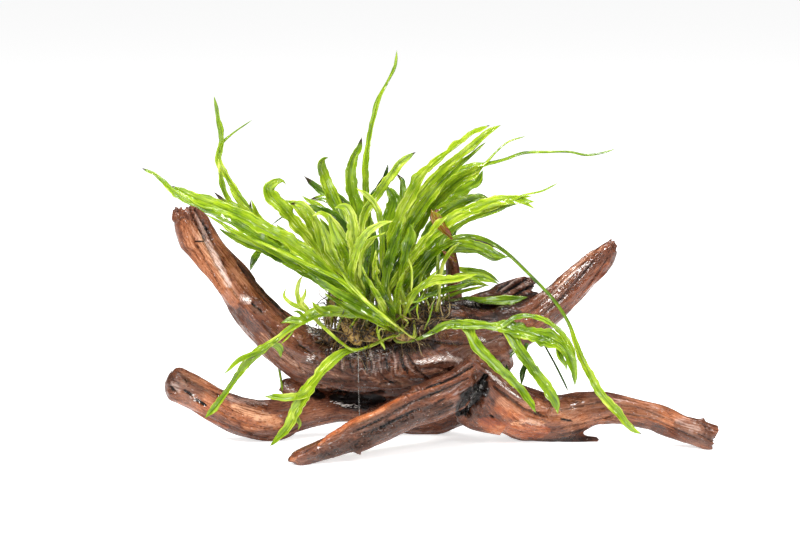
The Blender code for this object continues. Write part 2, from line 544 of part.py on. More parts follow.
def seat(limb, point, lift):
    """Moves a point straight out from the limb's middle to a height over its skin."""
    gaps = np.linalg.norm(limb.spine - np.array(point), axis=1)
    k = int(gaps.argmin())
    out = (point - Vector(limb.spine[k])).normalized()
    return Vector(limb.spine[k]) + out * (limb.radius[k] + lift)


def build_rhizomes(trunk, trunk_skin):
    """Creeping stems pressed on the trunk. Returns the spine of each."""
    spines = {}
    turns = [2 * math.pi * n / RHIZOME_SIDES for n in range(RHIZOME_SIDES)]
    for name, route in RHIZOMES.items():
        seated = [seat(trunk, place(*p), RHIZOME_RADIUS - RHIZOME_SINK) for p in route]
        spine, _ = smooth_curve(seated, [RHIZOME_RADIUS] * len(seated), RHIZOME_RINGS)
        ahead = directions(spine)
        rings = []
        for k, centre in enumerate(spine):
            forward = Vector(ahead[k])
            side = forward.cross(Vector((0, 0, 1))).normalized()
            up = side.cross(forward)
            taper = RHIZOME_END_SHARE if k in (0, len(spine) - 1) else 1.0
            swelling = RHIZOME_SWELLING * math.sin(RHIZOME_SWELLING_TURN * k)
            size = RHIZOME_RADIUS * taper * (1 + swelling)
            rings.append([Vector(centre) + (side * math.cos(t) + up * math.sin(t)) * size for t in turns])
        tips = [Vector(spine[0] - ahead[0] * BUD_LENGTH), Vector(spine[-1] + ahead[-1] * BUD_LENGTH)]
        material = material_of("rhizome_" + name, RHIZOME_BROWN, RHIZOME_ROUGHNESS)
        obj = tube("rhizome_" + name, rings, *tips, material)
        boolean(obj, trunk_skin, "DIFFERENCE")
        spines[name] = spine
    return spines


class Leaf:
    """A frond or a lobe: a strip along a smooth curve, from its base to its tip."""

    def __init__(self, points, widths, roll):
        self.spine, self.width = smooth_curve(points, widths, LEAF_SAMPLES)
        self.roll = roll

    def length(self):
        return np.linalg.norm(np.diff(self.spine, axis=0), axis=1).sum()


def leaf_base(spine, rank, count, depth):
    """Where a frond leaves its rhizome: in the order of its rank, clear of the tie line."""
    start, end = spine[0, 0], spine[-1, 0]
    room = end - start - 2 * LINE_BERTH
    x = start + (rank + 0.5) / count * (room if start < LINE_PLACE < end else end - start)
    if start < LINE_PLACE < end and x > LINE_PLACE - LINE_BERTH:
        x += 2 * LINE_BERTH
    centre = Vector([np.interp(x, spine[:, 0], spine[:, k]) for k in range(3)])
    lean = (depth - centre.y / MM) * STALK_LEAN_PER_MM
    lean = max(-STALK_MOST_LEAN, min(STALK_MOST_LEAN, lean))
    out = Vector((0, math.sin(lean), math.cos(lean)))
    return centre + out * (RHIZOME_RADIUS + STALK_LIFT + PETIOLE_HALF_THICKNESS + GAP), out


def fanned(name, route):
    """The route of a frond or a lobe with its depths fanned out."""
    if name in DRAPED:
        return route
    first = Vector(FRONDS[name][3][0][:2])
    last = Vector(FRONDS[name][3][-1][:2])
    fanned_route = []
    for across, up, y, width in route:
        share = min(1, (Vector((across, up)) - first).length / (last - first).length)
        depth = CROWN_DEPTH + (y - CROWN_DEPTH) * (1 + FAN * share)
        fanned_route.append((across, up, depth, width))
    return fanned_route


def lay_out_leaves(spines):
    """Every frond's strip on its smooth curve, before they settle apart."""
    leaves = {}
    for rhizome, spine in spines.items():
        names = [n for n, row in FRONDS.items() if row[0] == rhizome]
        names.sort(key=lambda n: FRONDS[n][3][0][0])
        for rank, name in enumerate(names):
            _, roll, _, route, _ = FRONDS[name]
            route = fanned(name, route)
            root, out = leaf_base(spine, rank, len(names), route[0][2])
            points = [root, root + out * STALK_LENGTH] + [place(*p[:3]) for p in route]
            widths = [PETIOLE_WIDTH] * 2 + [blade_width(*p) for p in route]
            leaves[name] = Leaf(points, widths, math.radians(roll))
    return leaves


def crossings(flat_a, flat_b, reach_a, reach_b, half_a, half_b):
    """Pairs of samples that look closer than their half widths, and the depth that each needs."""
    across = np.linalg.norm(flat_a[:, None] - flat_b[None], axis=2)
    i, j = np.nonzero(across < half_a[:, None] + half_b[None] + LEAF_CLEARANCE)
    return i, j, reach_a[i] + reach_b[j] + LEAF_CLEARANCE / 2


def settle_apart(leaves, limbs, spines):
    """Slides the fronds along the line of sight until they clear each other and the wood."""
    names = list(leaves)
    sight = np.array(SIGHT)
    spine = np.array([leaves[n].spine for n in names])
    half = np.array([leaves[n].width / 2 for n in names])
    reach = ROLLED_SHARE * half + PETIOLE_HALF_THICKNESS
    travelled = np.cumsum(np.linalg.norm(np.diff(spine, axis=1, prepend=spine[:, :1]), axis=2), axis=1)
    free = np.clip((travelled - STALK_LENGTH) / LOOSE_LENGTH, 0, 1)
    depth = spine @ sight
    flat = spine - depth[..., None] * sight
    pairs = []
    for a in range(len(names)):
        for b in range(a + 1, len(names)):
            found = crossings(flat[a], flat[b], reach[a], reach[b], half[a], half[b])
            if len(found[0]):
                pairs.append((a, b, *found))
    wood = np.vstack([limb.spine for limb in limbs] + list(spines.values()))
    wood_radius = np.concatenate(
        [limb.radius * WOOD_LUMP_MARGIN for limb in limbs]
        + [np.full(len(s), RHIZOME_RADIUS) for s in spines.values()])
    wood_depth = wood @ sight
    wood_flat = wood - wood_depth[:, None] * sight
    beside = []
    for a in range(len(names)):
        across = np.linalg.norm(flat[a][:, None] - wood_flat[None], axis=2)
        needed = wood_radius[None] + reach[a][:, None] + LEAF_CLEARANCE
        i, j = np.nonzero(across < needed)
        beside.append((i, j, np.sqrt(needed[i, j] ** 2 - across[i, j] ** 2)))
    for _ in range(SETTLING_STEPS):
        push = np.zeros_like(depth)
        for a, b, i, j, needed in pairs:
            gap = depth[a, i] - depth[b, j]
            order = np.sign(gap.sum()) or 1.0
            short = np.clip(needed - order * gap, 0, None) / 2
            forward, backward = np.zeros(LEAF_SAMPLES), np.zeros(LEAF_SAMPLES)
            np.maximum.at(forward, i, short)
            np.maximum.at(backward, j, short)
            push[a] += order * forward
            push[b] -= order * backward
        for a, (i, j, needed) in enumerate(beside):
            gap = depth[a, i] - wood_depth[j]
            short = np.clip(needed - np.abs(gap), 0, None)
            away = np.zeros(LEAF_SAMPLES)
            np.maximum.at(away, i, short * (gap >= 0))
            toward = np.zeros(LEAF_SAMPLES)
            np.maximum.at(toward, i, short * (gap < 0))
            push[a] += np.where(toward > away, -toward, away)
        push = np.clip(push, -LONGEST_PUSH, LONGEST_PUSH)
        for _ in range(2):
            push[:, 1:-1] = (push[:, :-2] + 2 * push[:, 1:-1] + push[:, 2:]) / 4
        depth += free * push * SETTLING_PACE
    for n, name in enumerate(names):
        leaves[name].spine = flat[n] + depth[n][:, None] * sight


def leaf_rings(leaf):
    """Four points around each station: the two edges and the two faces of the blade."""
    count = max(FEWEST_STATIONS, min(MOST_STATIONS, round(leaf.length() / LEAF_STATION) + 1))
    spots = np.linspace(0, LEAF_SAMPLES - 1, count)
    spine = np.column_stack([np.interp(spots, range(LEAF_SAMPLES), leaf.spine[:, k]) for k in range(3)])
    width = np.interp(spots, range(LEAF_SAMPLES), leaf.width)
    ahead = directions(spine)
    rings = []
    for centre, forward, wide in zip(spine, ahead, width):
        centre, forward = Vector(centre), Vector(forward)
        normal = (BLADE_FACING - forward * BLADE_FACING.dot(forward)).normalized()
        side = forward.cross(normal)
        turned = normal * math.cos(leaf.roll) + side * math.sin(leaf.roll)
        side = forward.cross(turned)
        stalk = (WIDE_BLADE - wide / MM) / (WIDE_BLADE - NARROWEST_BLADE)
        stalk = max(0.0, min(1.0, stalk))
        thick = BLADE_HALF_THICKNESS + stalk * (PETIOLE_HALF_THICKNESS - BLADE_HALF_THICKNESS)
        thick = min(thick, wide * MOST_THICKNESS_SHARE)
        edge = side * (wide / 2)
        rings.append([centre + edge, centre - turned * thick, centre - edge, centre + turned * thick])
    return rings


def leaf_object(name, leaf, material):
    rings = leaf_rings(leaf)
    first = sum(rings[0], Vector()) / 4
    last = sum(rings[-1], Vector()) / 4
    point = last + Vector(leaf.spine[-1] - leaf.spine[-2]).normalized() * TIP_LENGTH
    return tube(name, rings, first, point, material)


def build_fronds(trunk, roots, spines):
    leaves = lay_out_leaves(spines)
    settle_apart(leaves, [trunk, *roots.values()], spines)
    for name, leaf in leaves.items():
        _, _, tone, _, lobes = FRONDS[name]
        colour = tuple(DARK_GREEN + (BRIGHT_GREEN - DARK_GREEN) * tone)
        frond = leaf_object("frond_" + name, leaf, material_of("frond_" + name, colour, FROND_ROUGHNESS))
        for n, lobe in enumerate(lobes):
            lobe = fanned(name, lobe)
            points = [place(*p[:3]) for p in lobe]
            root = Vector(min(leaf.spine, key=lambda p: (Vector(p) - points[0]).length))
            shift = SIGHT * (root - points[0]).dot(SIGHT)
            widths = [blade_width(*p) for p in lobe]
            side_leaf = Leaf([root] + [p + shift for p in points[1:]], widths, leaf.roll + LOBE_ROLL)
            boolean(frond, helper(leaf_object(f"{name}_lobe_{n}", side_leaf, None)), "UNION")


def section(obj, x):
    """Where the edges of an object cross the plane at x, as (y, z)."""
    spots = []
    for edge in obj.data.edges:
        a, b = (obj.data.vertices[v].co for v in edge.vertices)
        if (a.x - x) * (b.x - x) < 0:
            spots.append(a.lerp(b, (x - a.x) / (b.x - a.x)).yz)
    return spots


def build_line():
    """The nylon line, taut around the trunk, the rhizomes on it and the root below."""
    held = ("wood_trunk", "wood_left_root", "rhizome_left", "rhizome_back")
    spots = [spot for name in held for spot in section(bpy.data.objects[name], LINE_PLACE)]
    hull = [spots[k] for k in geometry.convex_hull_2d(spots)]
    middle = sum(hull, Vector((0, 0))) / len(hull)
    loop = []
    for spot in hull:
        if not loop or (spot - loop[-1]).length > LINE_BEND:
            loop.append(spot + (spot - middle).normalized() * LINE_CLEARANCE)
    curve = bpy.data.curves.new("tie_line", "CURVE")
    curve.dimensions = "3D"
    curve.bevel_depth = LINE_RADIUS
    curve.bevel_resolution = 2
    spline = curve.splines.new("POLY")
    spline.points.add(len(loop) - 1)
    for point, spot in zip(spline.points, loop):
        point.co = (LINE_PLACE, spot.x, spot.y, 1)
    spline.use_cyclic_u = True
    curve.materials.append(material_of("tie_line", LINE_GREY, LINE_ROUGHNESS))
    bpy.context.scene.collection.objects.link(bpy.data.objects.new("tie_line", curve))


def build_all():
    clear_scene()
    trunk, roots, trunk_skin = build_wood()
    spines = build_rhizomes(trunk, trunk_skin)
    build_fronds(trunk, roots, spines)
    build_line()


build_all()
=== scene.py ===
"""The looks of the java fern on driftwood: wet fibrous wood, rhizomes with their hair roots,
glossy fronds and the nylon tie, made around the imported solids."""

import math

import bpy
import numpy as np
import openvdb
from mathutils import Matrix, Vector, noise


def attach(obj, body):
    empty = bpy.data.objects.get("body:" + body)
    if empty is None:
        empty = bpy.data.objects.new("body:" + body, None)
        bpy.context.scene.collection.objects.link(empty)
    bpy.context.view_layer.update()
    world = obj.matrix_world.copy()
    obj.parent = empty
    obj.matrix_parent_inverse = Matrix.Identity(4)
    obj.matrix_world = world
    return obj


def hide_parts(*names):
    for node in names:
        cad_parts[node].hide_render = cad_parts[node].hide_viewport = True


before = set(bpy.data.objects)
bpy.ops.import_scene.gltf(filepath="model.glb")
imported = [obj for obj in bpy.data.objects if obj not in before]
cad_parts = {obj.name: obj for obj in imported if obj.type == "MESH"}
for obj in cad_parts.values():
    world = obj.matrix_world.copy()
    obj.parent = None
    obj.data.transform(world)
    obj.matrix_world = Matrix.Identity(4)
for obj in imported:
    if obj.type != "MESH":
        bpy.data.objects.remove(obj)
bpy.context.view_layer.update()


def rows_of(table):
    """Rows of a table: words and numbers, then a route after each bar, up to the semicolon.
    A route is its points, and a point is its numbers with commas between them."""
    rows = []
    for row in table.split(";")[:-1]:
        heads, *routes = row.split("|")
        heads = [head if head[0].isalpha() else float(head) for head in heads.split()]
        routes = [[tuple(map(float, point.split(","))) for point in route.split()] for route in routes]
        rows.append(heads + routes)
    return rows


MM = 0.001

# Layout board, as in the solids: a route point is (across, up, y, size) in millimetres

BOARD_TILT = math.radians(10)
EYE_DISTANCE = 1.1
BOARD_CENTRE = Vector((-0.014, 0.0, 0.0901))
BOARD_FOOT = 0.0915
CENTRING = Vector((-0.0019, 0.0005, 0.0))
LENS = 99
SENSOR_WIDTH = 36
SIGHT = Vector((0, math.cos(BOARD_TILT), -math.sin(BOARD_TILT)))
BOARD_UP = Vector((0, math.sin(BOARD_TILT), math.cos(BOARD_TILT)))
EYE = BOARD_CENTRE - SIGHT * EYE_DISTANCE

# Sizes of the growth, in metres, as in the solids

GAP = 0.0003
PETIOLE_WIDTH = 0.0013
PETIOLE_HALF_THICKNESS = 0.00055
RHIZOME_RADIUS = 0.0033
RHIZOME_SINK = 0.0015
LINE_PLACE = -0.0366
LINE_BERTH = 0.0013

# Limbs of the wood, from the tip to where each one joins: the size is the radius

LIMBS = dict(rows_of("""
trunk | -119.8,119.5,6,6.5 -118.2,114,6,8.4 -115.2,107,5.5,9.1 -111,100,5,9 -103,90,4,9.2 -95.2,80.2,3,10
  -79,61.8,1,10.9 -63.4,49.6,0,13 -41,45,0,15 -19,46.5,0,15.5 1,51.5,1,17 14,56,3,16 28,57.5,5,12 43,60,7,10
  56,67.5,9,8.6 73.5,83.2,11,8.1 86,95.2,13,6.5 92.4,102.5,14,3.3;
left_root | -131.6,34.6,4,7.5 -125.6,32.8,4,9 -115,28.8,4,9 -104,22.6,4,9.3 -92,17.2,3,10 -79,15.2,5,10.1
  -64,19,9,8.8 -44,22.5,14,8.5 -21,20.5,18,9.5 -2,17.3,19,9.6 16,21,11,8.5 29,24,2,7;
front_root | -68,-5,-44,2.6 -62,-3.5,-43,4.6 -51,1,-40,6 -39,6.5,-36,7.5 -24,13,-30,8.5 -9,19.5,-25,9.5
  6,25.5,-20,10 20,31.5,-13,8;
right_root | 142.2,6,-12,7 128,10.3,-10,6.8 111,17,-6,6.8 85,21,0,8.5 66,17,4,11 51,18.3,5,13.2
  37,23.5,-2,13.4 27,34.5,-5,12 20,46,2,9 11,54,4,7;
under_root | 85.6,5.2,1,1.9 75,4.8,2,2.9 61,6.6,3,3.6 46,12,4,4.5;
broken_spur | -74,33.5,9,2 -68,32,10,4 -61,24,10,4.6;
back_stub | 50,79.6,30,5.8 37,75.8,27,6.2 20,69.2,22,6.8 1,60,12,9;
back_twig | 4.5,118,23,4 9,105,22,3 12,91,20,3.3 12.5,80,18,3.8 13,64,13,4.5;
"""))

LUMP_SIZE = 0.022
LUMP_SHARE = 0.16
FURROWS = 3
FURROW_SHARE = 0.035
FURROW_TWIST = 40

RHIZOMES = dict(rows_of("""
left | -52,57,-9 -42,60,-10 -31,61,-9;
right | -22,60,-13 -9,63,-13 6,66,-11;
back | -44,62,3 -24,64,4 -8,67,5 4,69,6;
"""))

# Fronds: name, rhizome, roll of the blade in degrees, tone from dark (0) to bright (1), route
# from the crown to the tip with the width at each point, and side lobes on the same terms.
# A tone is partly the frond's own green and partly painted shade: some fronds deep in the
# crown have darker tones where shade falls among the others.

FRONDS = {name: row for name, *row in rows_of("""
long_left left 10 0.44 | -44,80,-8,4 -64,94,-12,6 -83,105,-14,6 -99,114,-14,5.5 -114,121,-13,5
  -127,129,-11,4 -136,137,-9,3 -143,141,-8,1.2;
left_arch right -12 0.55 | -24,69,-20,1.6 -37,78,-21,2.4 -49,88,-22,4.5 -64,100,-23,6.5 -80,109,-24,6.5
  -97,118,-24,6 -114,125,-23,5 -128,132,-21,1.5;
left_low left 25 0.45 | -42,80,0,3 -59,89,2,5 -72,96,3,4.5 -85,101,4,4 -94,106,5,3 -103,112,6,1 |
  -83,101,4,2.4 -86.5,95.5,-2,3 -89,89.5,-7,0.9;
left_tall back -20 0.6 | -44,82,10,2 -69,105,14,2.6 -86,117,14,2.4 -95,128,12,2.6 -102,139,10,2.8
  -105,145,9,3.2 -103,154,8,2.6 -105,167,7,2.4 -107,177,6,0.8 | -103,153,8,1.6 -98,158,8,1 -88,165,7,0.7;
left_shoot left 20 0.6 | -46,84,3,2 -68,103,3,2.6 -86,116,2,3 -94,120,1,3 -100,125,0,3 -103,133,-1,2.5
  -105,146,-2,0.8;
left_brown_tip left -25 0.5 | -50,88,-4,2 -72,105,-5,2.5 -89,116,-6,3 -97,120,-6,3 -107,129,-6,1 |
  -88,115,-6,2 -89,125,-7,0.8;
left_broad left 15 0.72 | -36,80,-5,3 -44,90,-7,5 -54,99,-8,6.5 -60,106,-9,7 -66.5,113.5,-10,7
  -73,121,-11,6.5 -79,127.5,-11,6.2 -79.5,131.5,-11,5 -76,134,-11,3 -72.5,134.5,-10,1.5 -71,132.5,-10,0.8;
dark_inner back -30 0.15 | -29,80,6,2 -31,95,9,3 -34,108,11,4 -39,120,12,4.5 -47,127,12,4 -55,131,12,3.5
  -62,137,12,1;
hooked_inner back 25 0.6 | -32,82,2,2 -39,105,3,4 -44,117,3,5 -48.5,128,3,6 -52,137,3,6 -53.5,143,2,4.5
  -51.5,146,2,2 -49.5,146,2,0.9;
dark_tipped back 10 0.35 | -31,84,14,2 -34,105,17,3.4 -40,121,18,3.5 -47,125,18,3.5 -54,126,18,3
  -61,124,17,1;
light_left left -15 0.75 | -37,82,-9,2 -49,95,-12,4 -53,103,-14,4 -55,112,-15,4 -59,119,-16,3.6
  -64,123,-16,3 -69,123,-15,1;
light_inner left 20 0.8 | -34,82,-14,2 -39,100,-17,3.5 -43,107,-18,4 -48,114,-19,3.8 -54,118,-19,3
  -58,117,-19,1;
bright_short left -20 0.7 | -38,80,-19,2 -43,90,-22,4 -47,97,-23,5 -50,105,-24,4.5 -53,114,-24,1.2;
centre_upright back 15 0.5 | -31,85,-3,2.4 -33.5,105,-4,4.5 -35.5,120,-5,5.5 -38,129,-5,5.5 -39,137,-5,5
  -37.5,146,-5,4 -34.5,151.5,-5,2.6 -33,156.5,-5,0.9;
tallest back -10 0.58 | -28,90,2,1.6 -30.5,125,3,2.8 -31,140,3,3 -30,152,3,2.9 -27.5,165,2,2.5
  -24.5,176,1,2.1 -20,184.5,0,1.4 -16.5,192,-1,1.8 -15.5,200,-2,0.7;
centre_hooked back 30 0.62 | -30,85,-8,2 -33.5,108,-11,3 -31.5,119,-12,3.6 -25.5,127.5,-13,3.7
  -20,135.5,-14,3.7 -14,143.5,-14,3.3 -9.5,147,-14,2.5 -6,149,-14,1;
dark_upright back -25 0.1 | -27,85,8,2 -34,110,8,3 -30,122,8,3.5 -25,130,8,3.5 -21,138,8,2.6 -20,143,8,1;
back_short back 20 0.4 | -17,85,14,2 -14,108,16,3.5 -12.5,122,17,4 -13,130,17,3.5 -13.5,135,17,2.5
  -16,138.5,17,0.9;
dark_broad back -15 0.36 | -22,85,4,2.4 -21,108,3,5.5 -19,117,2,7 -17,124,2,6.5 -19,129.5,2,4 -22,132,2,1.2;
pale_hook right 10 0.8 | -22,88,-18,1.8 -23,108,-20,2.6 -25,120,-21,3 -29,126,-21,2.8 -36,131,-21,0.9;
front_folded left -10 0.85 | -31,76,-20,3 -34,84,-24,4.5 -36,95,-27,5.6 -37,107,-29,6 -39,118,-30,5
  -42,122,-30,3.5 -47,121,-29,1;
front_curved left 25 0.78 | -33,74,-24,2 -38,86,-29,3.4 -37,95,-32,3.8 -33,105,-34,3.6 -29,110,-35,3.2
  -24,113,-35,2.6 -17.5,114.5,-35,0.9;
front_pale right -20 0.85 | -24,78,-24,3 -26.5,86,-27,3.8 -27,93,-29,3.4 -26,100,-30,1;
right_upper back -20 0.74 | -23,80,-2,2 -21,98,-5,4 -13,118,-9,5.5 -2.5,136.5,-12,6 5,144.5,-14,5.5
  14,151.5,-15,5.2 23,158.5,-16,4.5 31,162.5,-16,1.2;
right_upper_back back 20 0.66 | -20,82,4,2 -15,105,3,3 -6,125,0,3.8 8,141,-3,4 16,147,-5,3.8 24,153.5,-6,3.2
  31,159.5,-7,2.5 36.5,162.5,-7,0.9;
right_tendril back -15 0.55 | -18,85,8,2 -12,117,9,3.5 0,130.5,9,4.8 11,138,9,4.8 20,141,9,4 30,143,8,2.4
  39,145.5,8,1.5 48,148.5,7,1.1 60,149,6,1.1 71,149,5,1.2 79,147.5,4,1.3 87,148.5,3,1 93.5,150.5,2,0.7 |
  27,143.3,8,1.6 34,149,8,1 40,154,8,0.9 49,157,7,0.7;
right_broad back 15 0.58 | -14,85,12,2.2 -8,113,13,4 3,122,14,5.6 12,128,14,6 19,131,14,5 25,135,14,3.6
  27.5,140,14,1;
right_dark back -10 0.32 | -12,88,18,1.8 -7,110,21,2.4 2,119,22,2.8 13.5,124,22,2.8 21,127,22,2.4
  26,127.5,22,2 31,125.5,22,0.8;
right_yellow right 10 0.68 | -15,84,-12,2.4 -9,94,-15,3.6 -1.5,102.5,-17,4.6 6,111,-19,5 14,117,-20,5
  24,121,-21,5 34,124.5,-22,4.6 43,125,-22,4 49,124.5,-22,2.6 53.5,124,-22,0.9 | 42,125,-22,1.8
  48,127.5,-22,1.1 57,129.5,-22,1 65,133.5,-22,0.7 | 44,124.5,-22,2 49.5,123,-22,1.7 53.5,120.5,-22,0.8 |
  21,119.5,-21,2 29,120,-20,2 38,122.5,-20,1.7 45,123,-20,0.8;
right_narrow right -25 0.4 | -10,84,-4,1.6 -2,98,-6,2 6,106,-8,2.4 18.5,114,-9,2.6 28.5,117,-10,2.4
  36,120,-10,2 42,123.5,-10,0.8;
mid_broad right -15 0.5 | -14,84,-18,2 -12,95,-20,3.6 -10,103,-21,5 -8.5,108,-21,4.4 -8.5,113,-21,1.4;
mid_olive right 25 0.4 | -12,80,-8,2.2 -8,91,-9,3.4 -3,101,-10,3.8 2,112.5,-11,1.1;
mid_dark back -10 0.1 | -8,80,0,2.4 -1.5,91,-1,5 4,97,-2,6 10,103,-3,5 14.5,110,-4,1.4;
right_trailing right 15 0.34 | -4,84,-10,1.8 4,99,-13,2.2 13.5,106,-15,2.5 24,106.5,-16,2.2 36,101,-16,1.9
  51,87.5,-16,1.6 64,73.5,-15,1.6 71,62,-15,1.8 75,50,-17,2.8 80,40,-19,3.5 86.5,28,-21,3.8 94.5,19,-22,3.7
  102,10.5,-23,2.7 107,8,-23,1;
right_drooping back 20 0.42 | -6,80,4,1.8 3,93,5,2.6 9,99,6,3 16,100.5,6,3 26,99,6,2.8 33,95.5,6,2
  39,96.5,6,0.8;
right_brown back -15 0.27 | -4,86,6,1.8 8,102,7,2.4 18.5,105,8,2.4 28.5,103,9,2 35,101,9,0.8;
right_low_back back 15 0.45 | -2,78,14,1.6 4,86,18,2.2 11,89.5,24,2.4 18,90,29,2.5 25,89.5,30,2.3
  31,87.5,30,1.8 36,83.5,30,0.7;
right_low right -20 0.5 | 1,79,-2,2.4 8.5,83.5,-3,3.4 16,84.5,-3,3.6 25,85,-3,3 33.5,84,-3,0.9;
right_lowest back 10 0.5 | 2,78,-2,1.8 8.5,80,-2,2.6 16,82,-1,3 23.5,83.5,0,2.6 31,82,0,0.9;
on_wood back -5 0.26 | 9,75,4,1.4 17,75.5,8,2 24,74.5,13,4.2 32,74,16,5.5 41,74.5,17,5 50,76.5,17,1.2;
pale_stalk right 0 0.9 | 4,69,-16,1.3 5.5,76,-17,1.4 6,84,-17,1.5 7.5,93,-16,1.8 11,99,-16,2.4
  16,104,-16,0.8;
front_right_lobed right 5 0.52 | -16,54.5,-19,1.4 -10,54.5,-21,1.7 -4,56,-22,2 1.5,58.5,-22,2.3
  8.5,62.5,-23,3.5 18.5,62.5,-25,4.7 31,62,-26,5 41,60.5,-26,6.5 52,58,-26,8 61.5,55.5,-26,7.5 69,49.5,-27,6
  73,39,-28,3.2 73.5,32,-28,1 | 18,61.5,-25.5,3.5 24,52.5,-28,4.5 34,42,-29,4.2 44,32.5,-30,3.8
  51,24,-30,3.2 54,18.5,-30,1 | 38.5,60.5,-26.3,4 45.5,50.5,-28,5.5 53,40,-29,5 60,30,-29,4.5
  64,22.5,-29,3.2 65,18,-29,1 | 36,62.5,-26.2,2.4 44,66.5,-26,2.8 52,67,-25,2.8 60,64,-25,2.9
  67,57.5,-25.5,2.9 72,50,-26,2.3 74,44,-26,1 | 21,59,-26,2 23,56,-27,1.7 22.5,53.5,-27,0.8 | 64,52.5,-27,3
  66,47,-27.5,3 69,42,-28,1.5 69,39,-28,0.7;
front_left_compound left -5 0.6 | -18,62,-18,1.4 -23,66,-19,2.5 -29,67.5,-20.5,4 -38,68.5,-22,4.7
  -48,69,-23,5 -56.5,68,-23,5.2 -64.5,64,-22,3.7 -73.5,57,-21,2.5 -82.5,50.5,-20,4 -91,43,-18,4
  -96.5,35.5,-16,2.5 -102,27.5,-15,2.9 -107,21,-14,3.3 -111.5,16,-14,1.1 | -83,50,-20.3,2.2 -94,45,-19,2.5
  -102,38,-18,0.9 | -78,54,-20.4,3.2 -74.5,51,-20,3.5 -73.5,46,-20,1 | -53,69,-23.2,2.7 -56.5,72,-23,2.3
  -58,74.5,-23,0.8 | -63,65,-22.3,3 -69,65,-22,3 -73.5,63.5,-22,1 | -61,67,-22.5,2 -64.5,69,-22.5,1.7
  -68,69.5,-22.5,0.8 | -65,62.5,-22,1.2 -68.5,58,-21,1 -73.5,53,-20.6,0.8;
front_antler left 0 0.85 | -17,58,-19,1.1 -22,55.5,-21.5,1.2 -29.5,52,-22.5,1.3 -37,50,-23,1.4
  -42.5,53,-22.6,1.5 -49.5,59,-22,1.7 -56,65,-20,2.3 -60.5,69.5,-19,3.2 -64,73.5,-18,3 -65.5,79,-18,2.2
  -64.5,84,-18,1.7 -62.5,87.5,-18,0.8 | -61,69.5,-18.7,2.5 -68,73,-18,2 -72,77,-18,1.5 -71,81,-18,0.8 |
  -63.5,73,-18.2,2 -61.5,78,-18,1.5 -61,81.5,-18,0.8;
front_left_broad right 10 0.7 | -14,58,-19,1.3 -19,56.5,-20.5,1.4 -25,53.5,-21.3,1.5 -33,50.5,-21.8,1.7
  -40,49,-23,3.2 -47,44.5,-24,5.25 -54,36.5,-25,6.2 -60,29,-25,7 -64,22,-25,6.5 -67.5,15,-24,5.5
  -72.5,8,-22,4 -79,2,-21,1.5 | -60,28,-25.3,4 -68,26,-24,4 -76,26,-23,3 -82,27,-22,1 | -65,17,-24.5,3
  -64,13,-24,2 -65,10,-24,0.8;
back_left back 0 0.5 | -36,82,20,2 -41,93,34,3.6 -45,98,46,4 -48,98,57,1;
back_middle back 10 0.4 | -27,86,24,2 -29,99,38,4 -31,106,50,4.6 -33,107,61,3.2 -34,105,69,1;
back_right back -10 0.45 | -14,84,22,2 -9,96,36,3.6 -4,102,48,4 0,102,58,3 2,99,64,1;
""")}

# Fronds and tendrils inside the crown that have no solid

